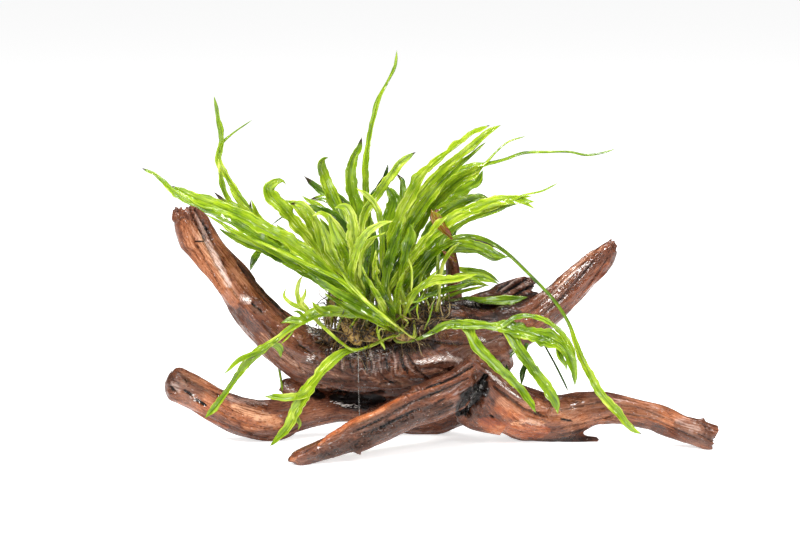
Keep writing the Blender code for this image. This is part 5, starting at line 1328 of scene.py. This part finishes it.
def tube_part(spine, radii, sides, values):
    """Points, faces and values of a closed round tube along a spine."""
    turn = np.linspace(0, 2 * np.pi, sides, endpoint=False)
    ahead = directions(spine)
    side = unit(np.cross(ahead, TUBE_REFERENCE))
    up = np.cross(ahead, side)
    radii = np.broadcast_to(np.reshape(radii, (len(spine), -1)), (len(spine), sides))
    u, v = np.cos(turn) * radii, np.sin(turn) * radii
    points = spine[:, None] + side[:, None] * u[..., None] + up[:, None] * v[..., None]
    attributes = {k: np.full(u.size, value) for k, value in values.items()}
    along = np.repeat(distances(spine), sides) + values["seed"]
    attributes["grain"] = np.column_stack([u.ravel(), v.ravel(), along])
    return points.reshape(-1, 3), tube_faces(len(spine), sides), attributes


def tube_piece(name, parts, material):
    """One piece of the rhizomes' growth, made of many tubes."""
    points, faces, attributes = join_parts(parts)
    return mesh_piece(name, points, faces, material, attributes)


def rhizome_spines(trunk):
    spines = {}
    for name, route in RHIZOMES.items():
        seated = [seat(trunk, place(*p), RHIZOME_RADIUS - RHIZOME_SINK) for p in route]
        spines[name], _ = smooth_curve(seated, [RHIZOME_RADIUS] * len(seated), RHIZOME_RINGS)
    return spines


def scaly_stem(knots, sizes, seed, gold):
    """Points, faces and values of a creeping stem with knuckles and overlapping scales."""
    fine, size = smooth_curve(knots, sizes, STEM_STATIONS)
    ahead = directions(fine)
    fine = np.vstack([fine[0] - ahead[0] * size[0] / 2, fine, fine[-1] + ahead[-1] * size[-1] / 2])
    size = np.r_[size[0], size, size[-1]]
    s = distances(fine)
    turn = np.linspace(0, 2 * np.pi, STEM_ROUND, endpoint=False)
    ends = np.sqrt(np.clip(np.minimum(s, s[-1] - s) / (size * STEM_END_LENGTH), 0.03, 1))
    spots = np.column_stack([np.tile(np.cos(turn), len(s)), np.tile(np.sin(turn), len(s)),
                             np.repeat(s / RHIZOME_RADIUS, STEM_ROUND)])
    knuckles = waves(spots * KNUCKLE_GRAIN, 40 + seed) * KNUCKLE_HEIGHT
    scales = 0.5 - np.abs(waves(spots * SCALE_GRAIN, 50 + seed))
    radii = (ends * size)[:, None] * (1 + (knuckles + scales * SCALE_HEIGHT).reshape(len(s), -1))
    part = tube_part(fine, radii, STEM_ROUND, {"seed": seed * 0.1, "gold": gold})
    part[2]["high"] = scales + 0.5
    return part


def build_rhizomes(spines, material):
    """Creeping stems, each with the knobs that stand out from it."""
    for n, (name, spine) in enumerate(spines.items()):
        parts = [scaly_stem(spine, [RHIZOME_RADIUS] * len(spine), n, 0.0)]
        for k, knob in enumerate(KNOBS[name]):
            sizes = [size * MM for _, _, _, size in knob]
            parts.append(scaly_stem([place(*p) for p in knob], sizes, 10 + 3 * n + k, 1.0))
        piece = tube_piece("scaly_rhizome_" + name, parts, material)
        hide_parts("rhizome_" + name)


def creeping_path(limb, start, turn, toward, run, lift, rng):
    """A path over a limb's skin, from one side of it round to another, with a little wander."""
    t = np.linspace(0, 1, CREEP_STEPS)
    along = start + run * t + CREEP_WANDER * np.cumsum(rng.normal(0, 1, CREEP_STEPS))
    turns = turn + (toward - turn) * t + CREEP_TURN * np.cumsum(rng.normal(0, 1, CREEP_STEPS))
    along = np.clip(along, 0, limb.along[-1])
    centre, side, up = (interpolated(along, limb.along, rows)
                        for rows in (limb.spine, limb.side, limb.up))
    radius = np.interp(along, limb.along, limb.radius)
    out = side * np.cos(turns)[:, None] + up * np.sin(turns)[:, None]
    lumps = lumps_at(centre + out * radius[:, None])
    return centre + out * (radius * swelling(lumps, turns, along) + lift)[:, None]


def build_bristles(name, spine, material, rng):
    """Scales of a rhizome that stand off like bristles."""
    parts = []
    t = np.linspace(0, 1, 4)[:, None]
    for _ in range(BRISTLES):
        k = rng.integers(0, len(spine) - 1)
        centre = spine[k] + (spine[k + 1] - spine[k]) * rng.random()
        out = unit(rng.normal(0, 1, 3) + np.array([0, -0.3, 0.5]))
        lean = unit(out + rng.normal(0, 0.7, 3))
        start = centre + out * RHIZOME_RADIUS * 0.9
        path = start + out * BRISTLE_LENGTH * 0.4 * t + lean * BRISTLE_LENGTH * rng.uniform(0.3, 1) * t * t
        values = {"seed": rng.random(), "age": rng.random() ** 2}
        parts.append(tube_part(path, rng.uniform(0.1, 0.22) * MM * BRISTLE_TAPER, 3, values))
    tube_piece("bristles_" + name, parts, material)


def build_tangles(spines, material):
    """Bristly scales on the rhizomes, and thin pale rootlets that curl between the stalks."""
    rng = np.random.default_rng(23)
    for name, spine in spines.items():
        build_bristles(name, spine, material, rng)
    parts = []
    for name, count in TANGLES.items():
        spine = np.vstack([spines[name]] + [[place(*p) for p in knob] for knob in KNOBS[name]])
        for _ in range(count):
            k = rng.integers(0, len(spine))
            aside = np.array([rng.normal(0, 0.8), rng.uniform(-1.4, 0.4), 0.5])
            knots = [spine[k] + aside * RHIZOME_RADIUS]
            heading = rng.normal(0, 1, 3) * np.array([1, 0.5, 0.4]) + np.array([0, -0.2, 0.9])
            for _ in range(5):
                heading = unit(heading + rng.normal(0, 0.6, 3))
                knots.append(knots[-1] + heading * TANGLE_REACH * rng.uniform(0.1, 0.36))
            path, _ = smooth_curve(knots, [1] * len(knots), TANGLE_STATIONS)
            values = {"seed": rng.random(), "age": rng.random()}
            radii = rng.uniform(0.14, 0.36) * MM * np.linspace(1, 0.4, TANGLE_STATIONS)
            parts.append(tube_part(path, radii, 5, values))
    tube_piece("curled_rootlets", parts, material)


def build_hair_roots(trunk, spines, material):
    """Dark wiry roots that run from the rhizomes over the front and the back of the trunk."""
    rng = np.random.default_rng(11)
    parts = []
    for name, count in HAIR_ROOTS.items():
        spine = spines[name]
        for _ in range(count):
            x = rng.uniform(spine[0, 0], spine[-1, 0])
            u, v, s = trunk.coordinates(interpolated([x], spine[:, 0], spine))[0]
            turn = math.atan2(v, u)
            k = int(np.searchsorted(trunk.along, s))
            facing = math.atan2(-trunk.up[k, 1], -trunk.side[k, 1])
            # Some of the roots at the back run down behind the trunk
            if name == "back" and rng.random() < BACKWARD_SHARE:
                facing += math.pi
            swing = (facing - turn + math.pi) % (2 * math.pi) - math.pi
            toward = turn + swing * rng.uniform(0.3, 1.35)
            lift = rng.uniform(-0.1, 0.6) * MM * np.ones(CREEP_STEPS)
            lift[0] += 1.5 * MM
            path = creeping_path(trunk, s, turn, toward, rng.normal(0, 7 * MM), lift, rng)
            path, _ = smooth_curve(path, [1] * CREEP_STEPS, HAIR_STATIONS)
            radii = rng.uniform(0.09, 0.2) * MM * np.linspace(1, 0.35, HAIR_STATIONS)
            values = {"seed": rng.uniform(0, 1), "age": rng.random()}
            parts.append(tube_part(path, radii, 4, values))
    tube_piece("hair_roots", parts, material)


# Materials


class Finish:
    """The node tree of a material or a node group, with short ways to add what it needs."""

    def __init__(self, tree):
        self.tree = tree

    def fill(self, sockets, values):
        """Gives sockets, by label or number, links or values. A tuple is a colour."""
        for label, value in values.items():
            if isinstance(value, bpy.types.NodeSocket):
                self.tree.links.new(value, sockets[label])
            else:
                sockets[label].default_value = (*value, 1.0) if isinstance(value, tuple) else value

    def node(self, kind, values, **settings):
        made = self.tree.nodes.new("ShaderNode" + kind)
        for label, value in settings.items():
            setattr(made, label, value)
        self.fill(made.inputs, values)
        return made

    def shade(self, values):
        self.fill(self.tree.nodes["Principled BSDF"].inputs, values)

    def maths(self, operation, a, b, clamp=False):
        return self.node("Math", {0: a, 1: b}, operation=operation, use_clamp=clamp).outputs[0]

    def times(self, a, b):
        return self.maths("MULTIPLY", a, b)

    def total(self, *terms, clamp=False):
        """The sum of terms, where a pair is a value and its weight."""
        first, *others = [self.times(*term) if isinstance(term, tuple) else term for term in terms]
        for n, term in enumerate(others, 1):
            first = self.maths("ADD", first, term, clamp and n == len(others))
        return first

    def swing(self, value, weight):
        """How far a noise is from its middle, times a weight."""
        return self.times(self.maths("SUBTRACT", value, 0.5), weight)

    def ranged(self, value, low, high, to_low=0.0, to_high=1.0):
        return self.node("MapRange", {"Value": value, "From Min": low, "From Max": high,
                                      "To Min": to_low, "To Max": to_high}).outputs["Result"]

    def mixed(self, share, a, b):
        return self.node("Mix", {0: share, 6: a, 7: b}, data_type="RGBA").outputs[2]

    def ramp(self, value, stops):
        made = self.node("ValToRGB", {"Fac": value})
        elements = made.color_ramp.elements
        while len(elements) < len(stops):
            elements.new(0.5)
        for element, (position, colour) in zip(elements, stops):
            element.position, element.color = position, (*colour, 1.0)
        return made.outputs["Color"]

    def attribute(self, name, output="Fac"):
        return self.node("Attribute", {}, attribute_name=name).outputs[output]

    def place(self):
        return self.node("TexCoord", {}).outputs["Object"]

    def noise(self, vector, scale, detail=2.0, roughness=0.5):
        return self.node("TexNoise", {"Vector": vector, "Scale": scale, "Detail": detail,
                                      "Roughness": roughness}).outputs["Fac"]

    def bump(self, height, strength, distance):
        return self.node("Bump", {"Height": height, "Strength": strength,
                                  "Distance": distance}).outputs["Normal"]

    def shared(self, name, values):
        """One of the node groups, placed with its own values."""
        return self.node("Group", values, node_tree=bpy.data.node_groups[name]).outputs

    def streaks(self, vector, across, stretch, detail):
        return self.shared("streaks", {"Vector": vector, "Across": across, "Stretch": stretch,
                                       "Detail": detail})["Value"]

    def film(self, vector, scale, wet, dry, dryness):
        water = self.shared("water_film", {"Vector": vector, "Scale": scale, "Wet": wet, "Dry": dry,
                                           "Dryness": dryness})
        return water["Roughness"], water["Wetness"]


def group(name, inputs, outputs):
    """A shader node group of numbers, and of vectors where an input has no value of its own."""
    tree = bpy.data.node_groups.new(name, "ShaderNodeTree")
    for label, value in inputs.items():
        kind = "NodeSocketVector" if value is None else "NodeSocketFloat"
        socket = tree.interface.new_socket(label, in_out="INPUT", socket_type=kind)
        if value is not None:
            socket.default_value = value
    for label in outputs:
        tree.interface.new_socket(label, in_out="OUTPUT", socket_type="NodeSocketFloat")
    return Finish(tree), tree.nodes.new("NodeGroupInput").outputs, tree.nodes.new("NodeGroupOutput").inputs


def streaks_group():
    """Noise drawn out along the third axis of its coordinates, as in fibres and veins."""
    finish, given, result = group(
        "streaks", {"Vector": None, "Across": 1000.0, "Stretch": 10.0, "Detail": 3.0}, ["Value"])
    along = finish.maths("DIVIDE", given["Across"], given["Stretch"])
    scale = finish.node("CombineXYZ", {"X": given["Across"], "Y": given["Across"], "Z": along})
    vector = finish.node("VectorMath", {0: given["Vector"], 1: scale.outputs[0]}, operation="MULTIPLY")
    finish.fill(result, {"Value": finish.noise(vector.outputs[0], 1.0, given["Detail"], 0.6)})


def film_group():
    """Roughness of a surface that is wet in patches."""
    finish, given, result = group(
        "water_film", {"Vector": None, "Scale": 200.0, "Wet": 0.12, "Dry": 0.5, "Dryness": 0.5},
        ["Roughness", "Wetness"])
    blotch = finish.noise(given["Vector"], given["Scale"], 3.0, 0.55)
    edge = finish.total(blotch, finish.maths("SUBTRACT", given["Dryness"], 0.5))
    share = finish.ranged(edge, 0.42, 0.62)
    spread = finish.maths("SUBTRACT", given["Dry"], given["Wet"])
    finish.fill(result, {"Roughness": finish.total(given["Wet"], (share, spread)),
                         "Wetness": finish.maths("SUBTRACT", 1.0, share)})


def new_material(name):
    material = bpy.data.materials.new(name)
    material.use_nodes = True
    return material, Finish(material.node_tree)


def wood_material():
    """Wet red-brown driftwood with dark cracks and pale raised fibres, painted shade in its hollows, and
    painted highlights, sheen and glints.
    """
    material, finish = new_material("wet_driftwood")
    paint = {layer: finish.attribute("paint_" + layer) for layer in LAYERS}
    grain = finish.attribute("grain", "Vector")
    spot = finish.place()
    fibre = finish.streaks(grain, 1500.0, 16.0, 4.0)
    thread = finish.streaks(grain, 3600.0, 14.0, 2.0)
    blotch = finish.noise(spot, 45.0, 4.0, 0.6)
    # The light strokes lift or lower the tone in fibre streaks, mostly as a painted highlight.
    level = finish.total(
        (finish.streaks(grain, 260.0, 7.0, 4.0), 0.36), (fibre, 0.44), (thread, 0.25),
        finish.swing(blotch, 0.35),
        finish.ranged(finish.streaks(grain, 2600.0, 5.0, 1.0), 0.33, 0.42, -0.14, 0.03),
        (paint["light"], finish.ranged(fibre, 0.4, 0.62, 0.05, 0.42)))
    ragged = finish.maths("SUBTRACT", finish.total((fibre, 0.6), (blotch, 0.4)), 0.5)

    def patch(name, spread=1.3, low=0.1, high=0.95):
        return finish.ranged(finish.total(paint[name], (ragged, spread)), low, high)

    colour = finish.ramp(level, WOOD_STOPS)
    for name, stops in (("orange", ORANGE_STOPS), ("rust", RUST_STOPS), ("dull", DULL_STOPS)):
        colour = finish.mixed(patch(name), colour, finish.ramp(level, stops))
    # Painted shade: the hollows and the dark strokes turn the colour near black, partly the wood's dark
    # cracks and partly the shade in creases, cavities and recesses.
    dark = finish.total((finish.attribute("hollow"), 0.7), patch("dark", 2.0, 0.25, 0.85), clamp=True)
    colour = finish.mixed(dark, colour, CRACK_AND_SHADE_BLACK)
    # Pale fibres and painted sheen: the pale strokes lighten the fibres, partly as a painted wet highlight.
    pale = finish.times(paint["pale"], finish.ranged(fibre, 0.4, 0.56, 0.1, 1))
    colour = finish.mixed(pale, colour, PALE_FIBRE_AND_SHEEN)
    # Painted glints: pale specks along the grain in the wet strokes, and a few over all the wood.
    flake = finish.streaks(grain, 1700.0, 2.6, 2.0)
    glint = finish.ranged(finish.total((paint["wet"], 0.16), flake), 0.63, 0.71)
    glint = finish.maths("MULTIPLY", glint, paint["wet"], clamp=True)
    glint = finish.maths("MAXIMUM", glint, finish.ranged(flake, 0.7, 0.74, 0, 0.5))
    dryness = finish.total(0.46, (paint["dry"], 0.3), (paint["wet"], -0.4))
    roughness, wetness = finish.film(spot, 110.0, 0.2, 0.65, dryness)
    grit = finish.noise(spot, 700.0)
    height = finish.total((fibre, 0.6), (thread, 0.3), (grit, finish.total(0.12, (paint["wet"], 0.3))))
    shine = finish.total(0.75, (dark, -0.4), (paint["wet"], 0.4), clamp=True)
    finish.shade({
        "Base Color": finish.mixed(glint, colour, PAINTED_GLINT), "Roughness": roughness,
        "Normal": finish.bump(height, 0.6, 0.0008), "Specular IOR Level": 0.25,
        "Coat Roughness": 0.06, "Coat Weight": finish.times(wetness, shine)})
    return material


def rhizome_material():
    """Scaly brown skin, golden on the knobs, lighter on the raised scales and black between them."""
    material, finish = new_material("scaly_rhizome")
    spot = finish.place()
    level = finish.total((finish.attribute("high"), 0.5), (finish.noise(spot, 420.0, 4.0), 0.5),
                         (finish.attribute("gold"), 0.28))
    roughness, _ = finish.film(spot, 500.0, 0.15, 0.6, 0.5)
    lines = finish.streaks(finish.attribute("grain", "Vector"), 1800.0, 5.0, 3.0)
    finish.shade({"Base Color": finish.ramp(level, RHIZOME_STOPS), "Roughness": roughness,
                  "Normal": finish.bump(lines, 0.6, 0.0005)})
    return material


def root_material():
    """Wiry roots, black-brown with some paler young ones."""
    material, finish = new_material("hair_root")
    blotch = finish.noise(finish.place(), 600.0)
    level = finish.total((finish.attribute("age"), 0.8), (blotch, 0.3))
    finish.shade({"Base Color": finish.ramp(level, ROOT_STOPS),
                  "Roughness": finish.ranged(blotch, 0.3, 0.7, 0.2, 0.45),
                  "Coat Weight": 0.5, "Coat Roughness": 0.05})
    return material


def frond_material():
    """Glossy leaf: green by its tone, with a dark midrib, veins, specks and browned tips, painted shade and
    painted glints in streaks, and painted highlights on its margins.
    """
    material, finish = new_material("fern_frond")
    along = finish.attribute("blade", "Vector")
    spot = finish.place()
    vein = finish.streaks(along, 1300.0, 22.0, 2.0)
    cell = finish.noise(spot, 700.0)
    patch = finish.noise(spot, 110.0, 1.0)
    # The last term lightens the margins, a painted highlight.
    level = finish.total(
        finish.attribute("tone"), finish.swing(vein, 1.0), finish.swing(patch, 0.75),
        finish.swing(finish.streaks(along, 3000.0, 26.0, 1.0), 0.7),
        finish.ranged(finish.attribute("edge"), 0.8, 1, 0, 0.25))
    flake = finish.streaks(along, 1000.0, 7.0, 3.0)
    browned = finish.total(finish.attribute("tip"), finish.swing(patch, 0.4))
    withered = finish.times(finish.attribute("withered"), finish.ranged(flake, 0.45, 0.6, 1, 0.4))
    colour = finish.ramp(level, FROND_STOPS)
    # FROND_SHADE and FROND_GLINT are painted shade and painted glints in streaks along the blade; the other
    # colours are the leaf's own.
    for share, over in (
            (finish.ranged(flake, 0.42, 0.34, 0, 0.6), FROND_SHADE),
            (finish.ranged(flake, 0.63, 0.68, 0, 0.75), FROND_GLINT),
            (finish.times(finish.attribute("rib"), 0.5), RIB_GREEN),
            (finish.times(finish.attribute("stalk"), 0.8), STALK_BROWN),
            (finish.times(finish.ranged(cell, 0.72, 0.77), 0.3), SPECK_BROWN),
            (finish.ranged(browned, 0.35, 0.75), TIP_BLACK), (withered, WITHERED)):
        colour = finish.mixed(share, colour, over)
    roughness, wetness = finish.film(spot, 160.0, 0.16, 0.36, 0.45)
    height = finish.total((vein, 0.7), (cell, 0.3))
    finish.shade({
        "Base Color": colour, "Roughness": roughness, "Normal": finish.bump(height, 0.7, 0.0006),
        "Specular IOR Level": 0.2, "Coat Roughness": 0.1, "Coat Weight": finish.times(wetness, 0.6),
        "Subsurface Weight": FROND_GLOW, "Subsurface Radius": [0.5, 1.0, 0.15],
        "Subsurface Scale": 0.002})
    return material


def line_material():
    """Clear nylon."""
    material, finish = new_material("clear_nylon")
    finish.shade({"Base Color": finish.ramp(finish.noise(finish.place(), 900.0), NYLON_STOPS),
                  "Roughness": 0.15, "Alpha": 0.32})
    return material


# Wood


def biggest_island(points, quads):
    """The quads that hang together with most of the others."""
    label = np.arange(len(points))
    while True:
        least = label[quads].min(axis=1)
        fresh = label.copy()
        for k in range(4):
            np.minimum.at(fresh, quads[:, k], least)
        fresh = fresh[fresh]
        if (fresh == label).all():
            break
        label = fresh
    main = np.bincount(label[quads[:, 0]]).argmax()
    return quads[label[quads[:, 0]] == main]


def used_only(quads, *rows):
    """Renumbers quads to the points they use, and cuts each row of values to those points."""
    used, numbers = np.unique(quads, return_inverse=True)
    return numbers.reshape(quads.shape), *[row[used] for row in rows]


def even_out(quads, chosen, count):
    """Smooths the border between chosen quads and the others."""
    share = chosen.astype(float)
    for _ in range(BORDER_ROUNDS):
        total, uses = np.zeros(count), np.zeros(count)
        for k in range(4):
            np.add.at(total, quads[:, k], share)
            np.add.at(uses, quads[:, k], 1)
        share = (total / np.maximum(uses, 1))[quads].mean(axis=1)
    return share > 0.5


def stroke_share(spots, route, width, seed):
    """1 on a stroke of this half width on the board, falling to 0 past its ragged edge."""
    route = np.array(route)
    share = np.zeros(len(spots))
    near = ((spots > route.min(0) - 2 * width) & (spots < route.max(0) + 2 * width)).all(axis=1)
    close = spots[near]
    starts = distances(route)
    distance = np.full(len(close), np.inf)
    for a, b, start, end in zip(route, route[1:], starts, starts[1:]):
        t = np.clip(((close - a) @ (b - a)) / (end - start) ** 2, 0, 1)
        gap = np.linalg.norm(close - a - t[:, None] * (b - a), axis=1)
        along = start + t * (end - start)
        from_end = np.minimum(along, starts[-1] - along)
        taper = np.sqrt(np.clip(from_end / (STROKE_TAPER * starts[-1]), 0, 1))
        taper = STROKE_END + (1 - STROKE_END) * taper
        distance = np.minimum(distance, gap / taper)
    ragged = 1 + STROKE_RAGGED * waves(close / max(width * 0.5, 0.8), seed)
    share[near] = 1 - smooth_step(0.3, 1.0, distance / (width * ragged))
    return share


def open_loops(faces):
    """The loops of edges that only one face uses."""
    edges = dict.fromkeys(edge for face in faces for edge in zip(face, face[1:] + face[:1]))
    loose = {}
    for a, b in edges:
        if (b, a) not in edges:
            loose.setdefault(a, []).append(b)
    loops = []
    while loose:
        start = next(iter(loose))
        loop, here = [start], start
        while True:
            there = loose[here].pop()
            if not loose[here]:
                del loose[here]
            if there == start:
                break
            loop.append(there)
            here = there
        loops.append(loop)
    return loops


def worked_skin(points, quads, spots, seen):
    """Moves the skin in or out where the listed strokes are."""
    normals = vertex_normals(points, quads)
    height = np.zeros(len(points))
    for n, (depth, width, route) in enumerate(CREASES):
        height += depth * MM * stroke_share(spots, route, width, 60 + n) * seen
    for n, (depth, width, route) in enumerate(CURTAINS):
        share = stroke_share(spots, route, width, 90 + n) * seen
        height += depth * MM * share * ridges(spots / CURTAIN_GRAIN, 95 + n, 2.5, 0.6)
    for n, (depth, width, route) in enumerate(GRIT):
        share = stroke_share(spots, route, width, 120 + n) * seen
        height += depth * MM * share * waves(points / GRIT_GRAIN, 150 + n)
    return points + normals * height[:, None]


def painted_layers(spots, seen):
    """The strongest stroke at each point, for each layer of paint."""
    layers = {"paint_" + name: np.zeros(len(spots)) for name in LAYERS}
    for n, (layer, strength, width, route) in enumerate(PAINT):
        share = stroke_share(spots, route, width, 200 + n) * seen * abs(strength)
        row = layers["paint_" + layer]
        stronger = share > np.abs(row)
        row[stronger] = share[stronger] * np.sign(strength)
    return layers


def all_limbs():
    """The limbs of the upper and of the lower piece of wood, each with its splinters."""
    upper = [Limb(LIMBS["trunk"], torn=0.004, hollow=0.003, far_torn=0.003, rounded=False),
             Limb(LIMBS["back_stub"], torn=0.005, rounded=False),
             Limb(LIMBS["back_twig"], torn=0.003, rounded=False)]
    lower = [Limb(LIMBS["left_root"], torn=0.0012), Limb(LIMBS["front_root"], torn=0.001),
             Limb(LIMBS["right_root"], torn=0.002, rounded=False), Limb(LIMBS["under_root"]),
             Limb(LIMBS["broken_spur"], torn=0.0015)]
    for name, route in SPLINTERS.items():
        (upper if name in UPPER_SPLINTERS else lower).append(Limb(route))
    return upper, lower


def wood_values(points, quads, normals, limbs):
    """Coordinates along the grain, how hollow each point lies, which darkens the wood as painted shade, and
    each limb's gap to it.
    """
    narrow = hollowness(points, quads, normals, 2) / NARROW_HOLLOW
    wide = hollowness(points, quads, normals, 24) / WIDE_HOLLOW
    hollow = np.clip(0.5 * narrow, 0, DEEPEST_HOLLOW) + np.clip(wide, 0, DEEPEST_HOLLOW)
    _, gaps, places = wood_field(points, limbs)
    weight = np.exp(-(gaps - gaps.min(0)) / GRAIN_BLEND)
    grain = (places * weight[..., None]).sum(0) / weight.sum(0)[:, None]
    return grain, hollow, gaps


def closed_piece(name, points, quads, normals, attributes, material):
    """A part of the skin, closed by a fan of faces over each of its openings."""
    quads, points, normals, *values = used_only(quads, points, normals, *attributes.values())
    faces = quads.tolist()
    for loop in open_loops(faces):
        faces += [[b, a, len(points)] for a, b in zip(loop, loop[1:] + loop[:1])]
        points = np.vstack([points, points[loop].mean(0)])
        normals = np.vstack([normals, (0, 0, 1)])
        values = [np.concatenate([row, row[loop[:1]]]) for row in values]
    return mesh_piece(name, points, faces, material, dict(zip(attributes, values)), normals)


def build_wood(upper, lower, material):
    """The driftwood as one skin, in an upper and a lower piece that meet inside its forks."""
    limbs = upper + lower
    spine = np.vstack([limb.spine for limb in limbs])
    low, high = spine.min(0) - WOOD_ROOM, spine.max(0) + WOOD_ROOM
    # The skin is worked out to just under the surface that the wood stands on
    low[2] = -2.5 * CELL
    points, quads = skin_of(limbs, low, high)
    quads, points = used_only(biggest_island(points, quads), points)
    spots = on_board(points)
    rays = unit(points - np.array(EYE + CENTRING))
    facing = -(rays * vertex_normals(points, quads)).sum(axis=1)
    seen = smooth_step(SEEN_FROM, SEEN_WHOLLY, facing)
    points = worked_skin(points, quads, spots, seen)
    normals = vertex_normals(points, quads)
    grain, hollow, gaps = wood_values(points, quads, normals, limbs)
    # The hollows darken the colour as painted shade; the paint layers hold painted shade, highlights and
    # glints as well as tints.
    attributes = {"grain": grain, "hollow": hollow, **painted_layers(spots, seen)}
    is_low = gaps.argmin(axis=0) >= len(upper)
    is_low = even_out(quads, is_low[quads].sum(axis=1) > 2, len(points))
    for name, chosen, nodes in (
            ("driftwood_upper", ~is_low, ("trunk", "left_horn", "right_horn", "back_stub", "back_twig")),
            ("driftwood_roots", is_low, ("left_root", "front_root", "right_root"))):
        piece = closed_piece(name, points, quads[chosen], normals, attributes, material)
        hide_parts(*["wood_" + node for node in nodes])


# Everything is put together

streaks_group()
film_group()
upper, lower = all_limbs()
trunk, stub, twig = upper[:3]
left_root, front_root, right_root = lower[:3]
build_wood(upper, lower, wood_material())

spines = rhizome_spines(trunk)
build_rhizomes(spines, rhizome_material())
root_look = root_material()
build_hair_roots(trunk, spines, root_look)
build_tangles(spines, root_look)

frond_look = frond_material()
limbs = [trunk, right_root, front_root, left_root, stub, twig]
leaves = {}
for rows in (FRONDS, EXTRA_FRONDS):
    leaves.update(lay_out_leaves(spines, rows))
    settle_apart(leaves, limbs, spines, set(rows))
for n, (name, leaf) in enumerate(leaves.items()):
    _, _, tone, _, *lobes = ALL_FRONDS[name]
    piece = frond_piece(name, leaf, tone, lobes, frond_look, n * 7 + 3)
    if name in FRONDS:
        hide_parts("frond_" + name)
build_strays(frond_look)

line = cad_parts["tie_line"]
line.data.materials.clear()
line.data.materials.append(line_material())

# Surface, light and camera

floor_mesh = bpy.data.meshes.new("pale_surface")
floor_corners = [(x * FLOOR_HALF, y * FLOOR_HALF, 0) for x, y in ((-1, -1), (1, -1), (1, 1), (-1, 1))]
floor_mesh.from_pydata(floor_corners, [], [(0, 1, 2, 3)])
floor_material, floor_finish = new_material("pale_surface")
floor_seen = floor_finish.node("LightPath", {}).outputs["Is Camera Ray"]
floor_finish.shade({
    "Base Color": FLOOR_WHITE, "Roughness": 0.7, "Emission Color": (1, 1, 1),
    "Emission Strength": floor_finish.ranged(floor_seen, 0, 1, FLOOR_GLOW * FLOOR_UNSEEN, FLOOR_GLOW)})
floor_mesh.materials.append(floor_material)
add_object("pale_surface", floor_mesh)

for name, spot, size, power in LAMPS:
    lamp_data = bpy.data.lights.new(name, "AREA")
    lamp_data.shape = "RECTANGLE"
    lamp_data.size, lamp_data.size_y = size
    lamp_data.energy = power
    lamp = add_object(name, lamp_data)
    lamp.location = spot
    lamp.rotation_euler = (Vector(spot) - LAMP_AIM).to_track_quat("Z", "Y").to_euler()

world = bpy.data.worlds.new("soft_room")
world.use_nodes = True
room = Finish(world.node_tree)
reflected = room.node("LightPath", {}).outputs["Is Glossy Ray"]
room.fill(world.node_tree.nodes["Background"].inputs, {
    "Color": (1, 1, 1),
    "Strength": room.ranged(reflected, 0, 1, ROOM_LIGHT, ROOM_LIGHT * ROOM_REFLECTED)})
bpy.context.scene.world = world

camera_data = bpy.data.cameras.new("camera")
camera_data.lens = LENS
camera_data.sensor_width = SENSOR_WIDTH
camera = add_object("camera", camera_data)
camera.location = EYE + CENTRING
camera.rotation_euler = (math.radians(90) - BOARD_TILT, 0, 0)
bpy.context.scene.camera = camera
bpy.context.scene.view_settings.view_transform = "Standard"
